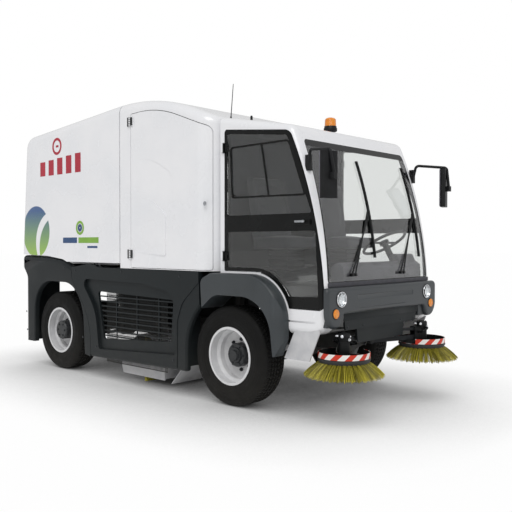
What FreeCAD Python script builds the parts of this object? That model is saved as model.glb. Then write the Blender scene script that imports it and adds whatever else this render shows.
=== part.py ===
import FreeCAD, Part
import math
import os
from FreeCAD import Vector as V

# Street sweeper truck, millimetres. +X is forward, +Y is the driver's left, +Z is up.
# The saved parts' origin is on the ground, under the middle of the truck.

# Running gear
wheelbase = 2774
front_axle_x = 1100
tyre_radius = 445
tyre_width = 283
rim_radius = 260
wheel_face_y = 960
disc_y = 788
bolt_circle = 275
bolt_count = 8
bolt_hole_radius = 11
hub_radius = 107
front_hub_y = 900
rear_hub_y = 935
cap_depth = 20
stub_radius = 45
kingpin_y = 655
kingpin_radius = 18
steer_arm = 140
steer_arm_drop = 72
drum_radius = 168
drum_inner_y = 650
leaf_half_length = 430
leaf_thickness = 30
leaf_width = 60
hanger_thickness = 8

# Frame
rail_inner_y = 300
rail_width = 70
rail_bottom = 530
rail_height = 150
rail_web = 10
rail_front_x = 1860
rail_overhang = 656
deck_z = 1190
beam_height = 80
beam_width = 80
skirt_step = 55
skirt_depth = 60
arch_lip = 16
panel_lip = 38
flank_step = 5
panel_front_x = 565

# Load box and engine housing
box_half_width = 980
box_overhang = 848.7
box_rear_lean = 0.0774
box_front_x = 900
box_edge_radius = 100
box_front_radius = 200
box_wall = 45
hopper_front_x = -475
housing_rear_x = -460
housing_wall = 30
hopper_floor_z = 1240
tub_half_width = 912
tub_top_z = 1400
tub_overhang = 696
skirt_overhang = 790
skirt_rear_z = 1307
service_hinge_x = -280
service_front_x = 850
service_drop = 118
arch_rise = 7
service_hinges = (1338, 2676)

# Hopper tipping
tip_hinge_overhang = 766
tip_hinge_z = 1150
tip_eye_overhang = 26
tip_eye_z = 1165
tip_base_overhang = 576
tip_base_z = 605
tip_y = 450
barrel_radius = 40
rod_radius = 22
pivot_radius = 20
tow_pin_radius = 13

# Cab
cab_rear_x = 930
cab_rear_half = 888
cab_front_half = 850
cab_wall = 35
cab_corner_radius = 66
cab_bottom = 690
cab_floor_thickness = 40
cab_roof_rear_z = 2592
brow = (1747, 2436)
screen_corner = (2041, 1735)
screen_radius = 3650
chin_x = 2092
glass = 6
door_rear_x = 986
cab_hinge = (982, 899)
cab_hinge_radius = 10
cab_hinges = (1330, 2300)
door_bottom = 905
door_sill_z = 1200
belt_z = 1620
belt_height = 145

# Front end
bumper_front_x = 2130
bumper_half = 828
bumper_lip = 44
bumper_top = 1085
bumper_middle_bottom = 876
bumper_end_bottom = 750
lamp_y = 685
lamp_z = 988
lamp_radius = 66
indicator_y = 760
indicator_z = 875
indicator_radius = 46

# Side brushes and roller broom
brush_x = 2114
brush_y = 626
brush_radius = 325
brush_disc_radius = 200
deck_radius = 215
brush_bottom = 350
brush_disc_z = 470
brush_deck_z = 505
arm_pivot = (1915, 60)
arm_z = 560
link_z = 640
head_reach = 90
hose_radius = 9
broom_x = -290
broom_z = 250
broom_radius = 235
broom_side_room = 135

mirror_centre = (2181, 923, 1983)
mirror_half_height = 185

# Clearances
seat = 0.3
running = 0.05
door_gap = 6
skirt_gap = 10
moving_gap = 8


def block(x0, x1, y0, y1, z0, z1):
    return Part.makeBox(x1 - x0, y1 - y0, z1 - z0, V(x0, y0, z0))


def rod(start, end, radius):
    run = V(*end) - V(*start)
    return Part.makeCylinder(radius, run.Length, V(*start), run)


def rounded(points, place):
    """Closed wire through corners (u, v, radius), with an arc at each corner that has a radius."""
    count = len(points)
    corners = []
    for i in range(count):
        u, v, radius = points[i]
        corner = V(u, v, 0)
        back = (V(points[i - 1][0], points[i - 1][1], 0) - corner).normalize()
        ahead = points[(i + 1) % count]
        on = (V(ahead[0], ahead[1], 0) - corner).normalize()
        if radius <= 0:
            corners.append((corner, corner, corner))
            continue
        half = back.getAngle(on) / 2
        reach = radius / math.tan(half)
        inward = (back + on).normalize()
        middle = corner + inward * (radius / math.sin(half) - radius)
        corners.append((corner + back * reach, middle, corner + on * reach))
    edges = []
    for i in range(count):
        start, middle, end = corners[i]
        if start.distanceToPoint(end) > 0.001:
            edges.append(Part.Arc(place(start), place(middle), place(end)).toShape())
        following = corners[(i + 1) % count][0]
        if end.distanceToPoint(following) > 0.001:
            edges.append(Part.LineSegment(place(end), place(following)).toShape())
    return Part.Wire(edges)


def side_plate(points, y0, y1, grow=0):
    """Outline in X and Z, running from y0 to y1."""
    face = Part.Face(rounded(points, lambda p: V(p.x, y0, p.y)))
    if grow:
        face = face.makeOffset2D(grow, 2)
    return face.extrude(V(0, y1 - y0, 0))


def plan_plate(points, z0, z1, grow=0):
    """Outline in X and Y, running from z0 to z1."""
    face = Part.Face(rounded(points, lambda p: V(p.x, p.y, z0)))
    if grow:
        face = face.makeOffset2D(grow, 2)
    return face.extrude(V(0, 0, z1 - z0))


def front_plate(points, x0, x1, grow=0):
    """Outline in Y and Z, running from x0 to x1."""
    face = Part.Face(rounded(points, lambda p: V(x0, p.x, p.y)))
    if grow:
        face = face.makeOffset2D(grow, 2)
    return face.extrude(V(x1 - x0, 0, 0))


def turned(profile, centre, axis):
    """Solid of revolution: profile corners are (along, radius) about an axis through centre."""
    axis = V(*axis).normalize()
    across = V(0, 0, 1) if abs(axis.z) < 0.9 else V(1, 0, 0)
    points = [V(*centre) + axis * along + across * radius for along, radius in profile]
    face = Part.Face(Part.makePolygon(points + points[:1]))
    return face.revolve(V(*centre), axis, 360)


def bent_tube(points, radius, bend):
    """Tube through points with a tangent arc of radius bend at each inner point."""
    spots = [V(*p) for p in points]
    edges = []
    last = spots[0]
    for i in range(1, len(spots) - 1):
        back = (spots[i - 1] - spots[i]).normalize()
        on = (spots[i + 1] - spots[i]).normalize()
        half = back.getAngle(on) / 2
        reach = bend / math.tan(half)
        inward = (back + on).normalize()
        middle = spots[i] + inward * (bend / math.sin(half) - bend)
        edges.append(Part.LineSegment(last, spots[i] + back * reach).toShape())
        edges.append(Part.Arc(spots[i] + back * reach, middle, spots[i] + on * reach).toShape())
        last = spots[i] + on * reach
    edges.append(Part.LineSegment(last, spots[-1]).toShape())
    ring = Part.Wire(Part.makeCircle(radius, spots[0], spots[1] - spots[0]))
    return Part.Wire(edges).makePipeShell([ring], True, True)


def mirrored(shape):
    return shape.mirror(V(0, 0, 0), V(0, 1, 0))


def both(shape):
    return [shape, mirrored(shape)]


def fused(shapes):
    shapes = list(shapes)
    return shapes[0].multiFuse(shapes[1:]).removeSplitter() if len(shapes) > 1 else shapes[0]


def save(name, shapes):
    """Saves solids as one node, counted from the ground under the middle of the truck."""
    shapes = shapes if isinstance(shapes, list) else [shapes]
    solids = [solid for shape in shapes for solid in shape.Solids]
    Part.makeCompound(solids).translated(V(-middle_x, 0, 0)).exportStep("parts/" + name + ".step")


# Values that follow from the driving dimensions
rear_axle_x = front_axle_x - wheelbase
box_rear_x = rear_axle_x - box_overhang
rail_rear_x = rear_axle_x - rail_overhang
tub_rear_x = rear_axle_x - tub_overhang
skirt_rear_x = rear_axle_x - skirt_overhang
tip_hinge = (rear_axle_x - tip_hinge_overhang, tip_hinge_z)
tip_eye = (rear_axle_x - tip_eye_overhang, tip_eye_z)
tip_base = (rear_axle_x - tip_base_overhang, tip_base_z)
skirt_inner_y = box_half_width - skirt_step
broom_half = skirt_inner_y - broom_side_room
axle_z = tyre_radius
tyre_inner_y = wheel_face_y - tyre_width
stub_end_y = front_hub_y - cap_depth - seat
rail_outer_y = rail_inner_y + rail_width
leaf_y = rail_inner_y + (rail_width - leaf_width) / 2
rail_top = rail_bottom + rail_height
beam_bottom = deck_z - beam_height
skirt_outer_y = skirt_inner_y + skirt_depth
far = 4000
hopper_beams = (tip_base[0], rear_axle_x + 474, -620)
housing_beams = (-400, 640)


def box_rear(z):
    return box_rear_x + (z - deck_z) * box_rear_lean


def screen_x(z):
    """X of the windscreen's outer face at height z: an arc that leans back."""
    turn = math.radians(9.9)
    lean = math.radians(12.7)
    reach = screen_radius / math.cos(turn)
    centre = V(screen_corner[0] - reach * math.cos(lean), screen_corner[1] - reach * math.sin(lean), 0)
    return centre.x + math.sqrt(screen_radius ** 2 - (z - centre.y) ** 2)


# X of the truck's middle, to the millimetre: half way from the box's rear edge to the side brushes' front
middle_x = round((box_rear(skirt_rear_z + skirt_gap) + brush_x + brush_radius) / 2)


# Frame, axles and what hangs under the truck

def frame_rails():
    rail = block(rail_rear_x, rail_front_x, rail_inner_y, rail_outer_y, rail_bottom, rail_top)
    channel = block(rail_rear_x, rail_front_x, rail_inner_y, rail_outer_y - rail_web,
                    rail_bottom + rail_web, rail_top - rail_web)
    rail = rail.cut(channel)
    pin = rod((tip_base[0], rail_outer_y - rail_web, tip_base[1]),
              (tip_base[0], tip_y + barrel_radius, tip_base[1]), pivot_radius)
    hangers = []
    for axle_x in (front_axle_x, rear_axle_x):
        for end_x in (axle_x - leaf_half_length, axle_x + leaf_half_length):
            plate = side_plate([(end_x - 45, rail_bottom, 0), (end_x - 26, rail_bottom - 60, 26),
                                (end_x + 26, rail_bottom - 60, 26), (end_x + 45, rail_bottom, 0)],
                               0, hanger_thickness)
            for y in (leaf_y - seat - hanger_thickness, leaf_y + leaf_width + seat):
                hangers.append(plate.translated(V(0, y, 0)))
    return both(fused([rail, pin] + hangers))


def crossmembers():
    """Cross tubes between the rails, the front one with the brush pivots, the rear one with the tow jaw."""
    inner = rail_outer_y - rail_web
    tubes = [block(x - 40, x + 40, -inner, inner, rail_bottom + rail_web, rail_top - rail_web)
             for x in (-1250, 560)]
    tubes = [tube.cut(block(-far, far, rail_inner_y, far, 0, rail_bottom + rail_web)) for tube in tubes]
    front = block(rail_front_x - 60, rail_front_x + 12, -rail_inner_y, rail_inner_y, rail_bottom, rail_top)
    pins = []
    for side in (-1, 1):
        across = V(arm_normal(side)[0], arm_normal(side)[1], 0)
        for z in (arm_z, link_z):
            pivot = V(arm_pivot[0], side * arm_pivot[1], z)
            pins.append(Part.makeCylinder(15, 92, pivot - across * 62, across))
    front = fused([front] + pins)
    rear = block(rail_rear_x, rail_rear_x + 80, -rail_inner_y, rail_inner_y, rail_bottom, rail_top)
    jaw = block(rail_rear_x - 70, rail_rear_x, -60, 60, rail_bottom + 25, rail_top - 25)
    slot = block(rail_rear_x - far, rail_rear_x - 12, -61, 61, rail_bottom + 55, rail_top - 55)
    bore = rod((rail_rear_x - 35, 0, 0), (rail_rear_x - 35, 0, far), tow_pin_radius)
    return tubes + [front, fused([rear, jaw]).cut(slot).cut(bore)]


def arm_direction(side):
    run = V(brush_x - arm_pivot[0], side * (brush_y - arm_pivot[1]), 0)
    return run.normalize()


def arm_normal(side):
    """Horizontal axis of the brush arm's hinges, pointing forward."""
    run = arm_direction(side)
    return (abs(run.y), -run.x * side, 0)


def body_subframe():
    """Cross beams on posts that carry the load box, the engine housing and the skirts."""
    beams = []
    for x in hopper_beams + housing_beams:
        half = skirt_inner_y - seat
        beam = block(x - beam_width / 2, x + beam_width / 2, -half, half, beam_bottom, deck_z)
        post = block(x - 30, x + 30, rail_inner_y, rail_outer_y, rail_top, beam_bottom)
        beams.append(fused([beam] + both(post)))
    lug = side_plate([(hopper_beams[0] - 40, beam_bottom, 0), (hopper_beams[0] - 40, deck_z, 0),
                      (tip_hinge[0] - 34, deck_z - 6, 34), (tip_hinge[0] - 34, beam_bottom, 34)], 0, 30)
    pieces = []
    for y in (rail_inner_y - 28, rail_outer_y - 2):
        pieces += both(lug.translated(V(0, y, 0)))
    pin = rod((tip_hinge[0], rail_inner_y - 28, tip_hinge[1]), (tip_hinge[0], rail_outer_y + 28, tip_hinge[1]),
              pivot_radius)
    beams[0] = fused([beams[0]] + pieces + both(pin))
    for x in (980, 1290):
        for post in both(block(x - 30, x + 30, rail_inner_y, rail_outer_y, rail_top, fender_top)):
            beams.append(post)
    return beams


def leaf_spring(x, seat_z, end_z):
    """Curved leaf pack with rolled eyes, seated on or under its axle."""
    half = leaf_half_length
    points = [V(x - half, 0, end_z - leaf_thickness / 2), V(x, 0, seat_z), V(x + half, 0, end_z - leaf_thickness / 2)]
    upper = [p + V(0, 0, leaf_thickness) for p in points]
    edges = [Part.Arc(*points).toShape(), Part.LineSegment(points[2], upper[2]).toShape(),
             Part.Arc(*upper).toShape(), Part.LineSegment(upper[0], points[0]).toShape()]
    pack = Part.Face(Part.Wire(edges)).extrude(V(0, leaf_width, 0)).translated(V(0, leaf_y, 0))
    eyes = [rod((x + end, leaf_y, end_z), (x + end, leaf_y + leaf_width, end_z), 24) for end in (-half, half)]
    return fused([pack] + eyes)


def front_axle():
    """Drop-centre beam with kingpin bosses, on leaf springs."""
    low = kingpin_y - 180
    high = kingpin_y - 210
    beam = front_plate([(-kingpin_y, axle_z - 40, 0), (-kingpin_y + 110, axle_z - 40, 60), (-low, 335, 60),
                        (low, 335, 60), (kingpin_y - 110, axle_z - 40, 60), (kingpin_y, axle_z - 40, 0),
                        (kingpin_y, axle_z + 30, 0), (kingpin_y - 120, axle_z + 30, 60), (high, 400, 60),
                        (-high, 400, 60), (-kingpin_y + 120, axle_z + 30, 60), (-kingpin_y, axle_z + 30, 0)],
                       front_axle_x - 40, front_axle_x + 40)
    pieces = [beam]
    for side in (-1, 1):
        pieces.append(rod((front_axle_x, side * kingpin_y, axle_z - 45),
                          (front_axle_x, side * kingpin_y, axle_z + 45), 38))
    spring = leaf_spring(front_axle_x, 400, 494)
    clamp = block(front_axle_x - 55, front_axle_x + 55, rail_inner_y - 2, rail_outer_y + 2, 398, 440)
    pieces += both(spring) + both(clamp)
    axle = fused(pieces)
    for side in (-1, 1):
        axle = axle.cut(rod((front_axle_x, side * kingpin_y, 0), (front_axle_x, side * kingpin_y, far),
                            kingpin_radius + running))
    return axle


def rear_axle():
    """Driven axle with a round final drive, brake drums and stub shafts, on underslung springs."""
    tube = rod((rear_axle_x, -drum_inner_y, axle_z), (rear_axle_x, drum_inner_y, axle_z), 55)
    drive = turned([(-110, 0), (-110, 90), (-60, 135), (60, 135), (110, 90), (110, 0)],
                   (rear_axle_x, 0, axle_z), (0, 1, 0))
    pieces = [tube, drive]
    for side in (-1, 1):
        pieces.append(turned([(0, 0), (0, drum_radius), (110, drum_radius), (110, stub_radius),
                              (stub_end_y - drum_inner_y, stub_radius), (stub_end_y - drum_inner_y, 0)],
                             (rear_axle_x, side * drum_inner_y, axle_z), (0, side, 0)))
    spring = leaf_spring(rear_axle_x, 350, 494)
    clamp = block(rear_axle_x - 60, rear_axle_x + 60, rail_inner_y - 2, rail_outer_y + 2, 352, 430)
    return fused(pieces + both(spring) + both(clamp))


def knuckle(side):
    """Steering knuckle: forked round the kingpin boss, with stub shaft, brake drum and steering arm."""
    y = side * kingpin_y
    ears = [block(-36, 36, min(0, side * 62), max(0, side * 62), z0, z1).translated(V(front_axle_x, y, 0))
            for z0, z1 in ((axle_z + 50, axle_z + 75), (axle_z - 75, axle_z - 50))]
    noses = [rod((front_axle_x, y, z0), (front_axle_x, y, z1), 45)
             for z0, z1 in ((axle_z + 50, axle_z + 75), (axle_z - 75, axle_z - 50))]
    pin = rod((front_axle_x, y, axle_z - 75), (front_axle_x, y, axle_z + 75), kingpin_radius)
    web = block(-60, 60, min(side * 50, side * 66), max(side * 50, side * 66), -75, 75)
    web = web.translated(V(front_axle_x, y, axle_z))
    shaft = turned([(60, 0), (60, 90), (70, drum_radius), (106, drum_radius), (106, stub_radius),
                    (stub_end_y - kingpin_y, stub_radius), (stub_end_y - kingpin_y, 0)],
                   (front_axle_x, y, axle_z), (0, side, 0))
    low = axle_z - steer_arm_drop
    arm = side_plate([(front_axle_x - steer_arm - 26, low, 12), (front_axle_x - steer_arm - 26, low - 26, 8),
                      (front_axle_x, low - 26, 0), (front_axle_x, low, 0)], y - 16, y + 16)
    ball = rod((front_axle_x - steer_arm, y, low - 26), (front_axle_x - steer_arm, y, low - 66), 12)
    return fused(ears + noses + [pin, web, shaft, arm, ball])


def tie_rod():
    """Track rod with a ring eye under each steering arm."""
    z = axle_z - steer_arm_drop - 26 - 4
    x = front_axle_x - steer_arm
    bar = rod((x, -kingpin_y, z - 15), (x, kingpin_y, z - 15), 13)
    eyes = [rod((x, side * kingpin_y, z), (x, side * kingpin_y, z - 30), 26) for side in (-1, 1)]
    link = fused([bar] + eyes)
    tight = rod((x, -kingpin_y, 0), (x, -kingpin_y, far), 12 + running)
    loose = rod((x, kingpin_y, 0), (x, kingpin_y, far), 12 + 1)
    return link.cut(tight).cut(loose)


def tyre(x, side):
    """Wide single tyre with rounded shoulders and bulged walls."""
    half = tyre_width / 2
    bead = rim_radius - 10
    wall = [(half - 26, bead), (half - 26, rim_radius + 1), (half - 11, rim_radius + 4),
            (half - 4, rim_radius + 30), (half, rim_radius + 75), (half - 4, tyre_radius - 58),
            (half - 22, tyre_radius - 14), (half - 48, tyre_radius)]
    profile = wall + [(-along, radius) for along, radius in reversed(wall)]
    centre_y = side * (wheel_face_y - half)
    return turned(profile, (x, centre_y, axle_z), (0, side, 0))


def rim(x, side, front):
    """Deep-dished wheel with a ring of bolt holes, and the hub that carries it on the stub shaft."""
    half = tyre_width / 2
    middle_y = wheel_face_y - half
    bead = rim_radius - 10 - seat
    edge = half - 26 + seat
    barrel = [(-edge - 14, rim_radius - 22), (-edge - 14, rim_radius), (-edge, rim_radius), (-edge, bead),
              (-60, bead), (-44, bead - 26), (20, bead - 26), (40, bead), (edge, bead), (edge, rim_radius),
              (edge + 14, rim_radius), (edge + 14, rim_radius - 22), (edge - 6, bead - 9), (48, bead - 9),
              (28, bead - 35), (-50, bead - 35), (-68, bead - 9), (-edge + 6, bead - 9)]
    centre = (x, side * middle_y, axle_z)
    face = disc_y - middle_y
    disc = [(face - 12, hub_radius + seat), (face - 12, 180), (face - 4, bead - 31), (face + 10, bead - 31),
            (face, 177), (face, hub_radius + seat)]
    wheel = fused([turned(barrel, centre, (0, side, 0)), turned(disc, centre, (0, side, 0))])
    for i in range(bolt_count):
        turn = 2 * math.pi * i / bolt_count
        hole_x = x + bolt_circle / 2 * math.cos(turn)
        hole_z = axle_z + bolt_circle / 2 * math.sin(turn)
        wheel = wheel.cut(rod((hole_x, side * (disc_y - 30), hole_z), (hole_x, side * (disc_y + 10), hole_z),
                              bolt_hole_radius))
    behind = face - 12 - seat
    cap = (front_hub_y if front else rear_hub_y) - middle_y
    bore = stub_end_y + seat - middle_y
    nave = cap - (50 if front else 12)
    hub = [(behind - 8, stub_radius + running), (behind - 8, 152), (behind, 152), (behind, hub_radius),
           (nave, hub_radius), (nave + 12, hub_radius - 9)]
    if front:
        hub += [(nave + 12, 72), (cap - 22, 66), (cap - 22, 52), (cap, 44)]
    hub += [(cap, 0), (bore, 0), (bore, stub_radius + running)]
    return [wheel, turned(hub, centre, (0, side, 0))]


def engine_block():
    engine = block(-950, -150, -270, 270, 570, 1070)
    feet = []
    for x in (-900, -230):
        feet += both(block(x, x + 70, 260, rail_outer_y - 30, rail_top, rail_top + 50))
    return fused([engine] + feet)


def oil_coolers():
    """Cooler core behind the right grille and tank behind the left one, on brackets off the rails."""
    cooler = block(-700, -140, -790, -690, 520, 930)
    for i in range(8):
        z = 545 + i * 46
        cooler = cooler.cut(block(-670, -170, -800, -770, z, z + 26))
    tank = side_plate([(-700, 520, 60), (-140, 520, 60), (-140, 900, 60), (-700, 900, 60)], 600, 790)
    pieces = []
    for body, side, inner in ((cooler, -1, 690), (tank, 1, 600)):
        arms = [block(x, x + 50, min(side * rail_outer_y, side * inner), max(side * rail_outer_y, side * inner),
                      590, 650) for x in (-640, -250)]
        pieces.append(fused([body] + arms))
    return pieces


def broom_housing():
    """Hood over the roller broom with side plates near the ground and a sloping front flap."""
    inner = broom_radius + 15
    outer = inner + 8
    half = broom_half + 22
    ring = rod((broom_x, -half, broom_z), (broom_x, half, broom_z), outer)
    ring = ring.cut(rod((broom_x, -far, broom_z), (broom_x, far, broom_z), inner))
    hood = ring.common(block(-far, far, -far, far, broom_z, far))
    plate = side_plate([(broom_x - 350, 66, 20), (broom_x - 382, 150, 100), (broom_x - 300, 420, 60),
                        (broom_x + 300, 420, 60), (broom_x + 337, 300, 40), (broom_x + 337, 66, 10)],
                       broom_half + 12, broom_half + 20)
    axle = rod((broom_x, broom_half - 40, broom_z), (broom_x, broom_half + 14, broom_z), 25)
    front = block(broom_x + 329, broom_x + 337, -half + 2, half - 2, 80, 300)
    shelf = block(broom_x + inner - 6, broom_x + 672, -half + 2, half - 2, 292, 300)
    flap = side_plate([(broom_x + 434, 47, 0), (broom_x + 445, 47, 0), (broom_x + 680, 300, 0),
                       (broom_x + 669, 300, 0)], -half + 2, half - 2)
    tops = []
    for y in (rail_inner_y, -rail_outer_y):
        tops.append(block(broom_x - 60, broom_x + 60, y, y + rail_width, broom_z + inner + 4, rail_bottom))
    return fused([hood, front, shelf, flap] + both(plate) + both(axle) + tops)


def main_broom():
    """Roller with bristles in spiral rows along its full width."""
    core = rod((broom_x, -broom_half, broom_z), (broom_x, broom_half, broom_z), 90)
    rows = []
    for i in range(8):
        row = block(60, broom_radius, -broom_half, broom_half, -14, 14)
        row.rotate(V(0, 0, 0), V(0, 1, 0), i * 45)
        rows.append(row.translated(V(broom_x, 0, broom_z)))
    broom = fused([core] + rows)
    for side in (-1, 1):
        start = (broom_x, side * (broom_half + 10), broom_z)
        broom = broom.cut(rod(start, (broom_x, side * (broom_half - 45), broom_z), 25 + running))
    return broom


# Load box, engine housing and their doors

roof_rear = (box_rear_x + 119.7, 2732, 160)
roof_top = (150, 2935, 2800)
roof_front = (box_front_x, 2590, 0)


def box_form(inset):
    """The whole white box, from the tailgate to the back of the cab, shrunk on all sides by inset."""
    side = [(box_rear(deck_z), deck_z, 0), roof_rear, roof_top, roof_front, (box_front_x, deck_z, 0)]
    form = side_plate(side, -box_half_width + inset, box_half_width - inset, -inset)
    corner = box_front_radius
    form = form.common(core_prism(inset))
    radius = box_edge_radius - inset
    edges = []
    for edge in form.Edges:
        low = edge.BoundBox
        middle = edge.valueAt((edge.FirstParameter + edge.LastParameter) / 2)
        on_side = abs(abs(middle.y) - (box_half_width - inset)) < 1
        above = low.ZMax > deck_z + 60 + inset and low.ZMin > deck_z - 1 + inset
        vertical = low.XMax - low.XMin < 0.01 and low.YMax - low.YMin < 0.01
        along = low.XMax - low.XMin > 1 and low.ZMax - low.ZMin > 0.01
        if above and not vertical and along and (on_side or middle.x > box_front_x - corner - 1):
            edges.append(edge)
        elif above and not vertical and middle.x > box_front_x - inset - 1 and low.ZMax > 2000:
            edges.append(edge)
    return form.makeFillet(radius, edges) if radius > 0 else form


def core_prism(inset):
    """Plan of the box less its wall, full height: what a door panel must not reach into."""
    corner = box_front_radius
    plan = [(box_rear_x - 100, -box_half_width, 0), (box_front_x, -box_half_width, corner),
            (box_front_x, box_half_width, corner), (box_rear_x - 100, box_half_width, 0)]
    return plan_plate(plan, 0, far, -inset)


def skirt_line(gap):
    """Top edge of the dark skirts, from the rear corner to the service door."""
    return [(rear_axle_x - 926, skirt_rear_z + gap, 0), (rear_axle_x - 226, 1291 + gap, 300),
            (rear_axle_x + 124, 1256 + gap, 300), (rear_axle_x + 329, 1180 + gap, 60),
            (rear_axle_x + 670, 1226 + gap, 60), (rear_axle_x + 826, deck_z - 3 + gap, 60),
            (box_front_x + 60, deck_z - 3 + gap, 0)]


def under_skirt_line(gap):
    return side_plate(skirt_line(gap) + [(box_front_x + 60, 0, 0), (rear_axle_x - 926, 0, 0)], -far, far)


def tub_form(inset):
    """Lower part of the load box, between the skirts, cut away behind so that it can tip."""
    side = [(tub_rear_x, tub_top_z + inset, 0), (tub_rear_x, skirt_rear_z, 0), (tub_rear_x + 105, hopper_floor_z, 0),
            (hopper_front_x, hopper_floor_z, 0), (hopper_front_x, tub_top_z + inset, 0)]
    return side_plate(side, -tub_half_width + inset, tub_half_width - inset, -inset)


def hopper():
    """Tipping load box: outer shell, narrower tub between the skirts, tailgate opening, sills and lugs."""
    keep = block(-far, hopper_front_x, -far, far, hopper_floor_z - 60, far)
    outer = box_form(0).common(keep)
    outer = outer.cut(under_skirt_line(skirt_gap))
    body = fused([outer, tub_form(0)])
    below = block(-far, far, -far, far, 0, hopper_floor_z)
    body = body.cut(below)
    cavity_high = box_form(box_wall).common(block(-far, hopper_front_x - box_wall, -far, far, tub_top_z, far))
    body = body.cut(cavity_high).cut(tub_form(box_wall))
    body = body.cut(block(-far, -2000, -hatch_half, hatch_half, hatch_bottom, hatch_top))
    pieces = [body]
    for side in (-1, 1):
        low_y = min(side * (rail_inner_y + 10), side * (rail_outer_y - 10))
        sill = block(tip_hinge[0] + 20, hopper_front_x - 60, low_y, low_y + 50, deck_z + seat, hopper_floor_z)
        lug = side_plate([(tip_hinge[0] - 30, tip_hinge[1] - 30, 28), (tip_hinge[0] + 30, tip_hinge[1] - 30, 28),
                          (tip_hinge[0] + 70, tub_top_z - 60, 0), (tip_hinge[0] - 30, tub_top_z - 60, 0)],
                         low_y, low_y + 50)
        pieces += [sill, lug]
        for offset in (-44, 32):
            ear = side_plate([(tip_eye[0] - 28, tip_eye[1] - 28, 28), (tip_eye[0] + 28, tip_eye[1] - 28, 28),
                              (tip_eye[0] + 60, hopper_floor_z, 0), (tip_eye[0] - 60, hopper_floor_z, 0)],
                             0, 12)
            pieces.append(ear.translated(V(0, side * tip_y + offset, 0)))
    body = fused(pieces + hatch_brackets())
    for side in (-1, 1):
        body = body.cut(rod((tip_hinge[0], side * (rail_inner_y + 5), tip_hinge[1]),
                            (tip_hinge[0], side * (rail_outer_y - 5), tip_hinge[1]), pivot_radius + running))
    return body


def hatch_barrel(y):
    """Hinge strap and barrel on the tailgate's upper edge."""
    x, z = hatch_hinge
    strap = block(x - 6, x + 40, y - 20, y + 20, z - 90, z - 30)
    arm = block(x - 14, x + 4, y - 20, y + 20, z - 60, z)
    return fused([strap, arm, rod((x, y - 20, z), (x, y + 20, z), 14)])


def hatch_brackets():
    """Hinge lugs and pins over the tailgate opening."""
    x, z = hatch_hinge
    pieces = []
    for y in (-500, 500):
        pieces.append(rod((x, y - 30, z), (x, y + 30, z), 8))
        for shift in (-32, 22):
            pieces.append(block(x - 12, x + 30, y + shift, y + shift + 10, z - 12, z + 14))
    return pieces


hatch_half = 800
hatch_bottom = 1345
hatch_top = 2550
hatch_hinge = (box_rear(2570) - 16, 2570)
hatch_panel = 40


def hopper_door():
    """Tailgate: one ribbed panel set into the rear wall and hung from its top edge."""
    gap = moving_gap
    low = hatch_bottom + gap
    high = hatch_top - gap
    panel = side_plate([(box_rear(low), low, 0), (box_rear(high), high, 0), (box_rear(high) + hatch_panel, high, 0),
                        (box_rear(low) + hatch_panel, low, 0)], -hatch_half + gap, hatch_half - gap)
    ribs = [hatch_barrel(y) for y in (-500, 500)]
    for z in (1500, 1850, 2200):
        rib = block(box_rear(z) - 14, box_rear(z) + 20, -hatch_half + 90, hatch_half - 90, z, z + 60)
        ribs.append(rib)
    door = fused([panel] + ribs)
    return door.cut(rod((hatch_hinge[0], -far, hatch_hinge[1]), (hatch_hinge[0], far, hatch_hinge[1]), 8 + running))


def tip_barrels():
    start = V(tip_base[0], 0, tip_base[1])
    axis = (V(tip_eye[0], 0, tip_eye[1]) - start).normalize()
    bodies = []
    for side in (-1, 1):
        base = start + V(0, side * tip_y, 0)
        barrel = Part.makeCylinder(barrel_radius, 490, base + axis * 30, axis)
        eye = rod((base.x, base.y - 24, base.z), (base.x, base.y + 24, base.z), 34)
        body = fused([barrel, eye])
        body = body.cut(Part.makeCylinder(rod_radius + running, far, base + axis * 60, axis))
        bodies.append(body.cut(rod((base.x, base.y - 60, base.z), (base.x, base.y + 60, base.z),
                                   pivot_radius + running)))
    return bodies


def tip_rods():
    start = V(tip_base[0], 0, tip_base[1])
    end = V(tip_eye[0], 0, tip_eye[1])
    axis = (end - start).normalize()
    bodies = []
    for side in (-1, 1):
        tip = end + V(0, side * tip_y, 0)
        shaft = Part.makeCylinder(rod_radius, (end - start).Length - 70, start + V(0, side * tip_y, 0) + axis * 70,
                                  axis)
        eye = rod((tip.x, tip.y - 24, tip.z), (tip.x, tip.y + 24, tip.z), 26)
        bodies.append(fused([shaft, eye]).cut(rod((tip.x, tip.y - 60, tip.z), (tip.x, tip.y + 60, tip.z), 14)))
    return bodies


def service_outline():
    """Door outline on the side of the housing: its top follows the roof."""
    return [(service_hinge_x + door_gap / 2, deck_z + 12, 15), (service_hinge_x + door_gap / 2, 2868 - service_drop, 15),
            (150, 2880 - service_drop, 1500), (service_front_x, 2622 - service_drop, 70),
            (service_front_x, deck_z + 12, 15)]


def engine_housing():
    """Fixed white box behind the cab: roof, front and rear wall and floor, with a door opening each side."""
    keep = block(housing_rear_x, far, -far, far, deck_z, far)
    form = box_form(0).common(keep)
    room = box_form(housing_wall).common(block(housing_rear_x + housing_wall, far, -far, far,
                                               deck_z + housing_wall, far))
    form = form.cut(room)
    opening = side_plate(service_outline(), -far, far, door_gap).cut(core_prism(housing_wall + door_gap))
    inner = side_plate(service_outline(), -far, far, -25)
    inner = inner.cut(block(-far, far, -box_half_width + 300, box_half_width - 300, 0, far))
    leaves = []
    for z in service_hinges:
        leaves += both(block(service_hinge_x - 44, service_hinge_x - 13, box_half_width - 3, box_half_width + 8,
                             z - 45, z + 45))
    return fused([form.cut(opening).cut(inner)] + leaves)


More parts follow.
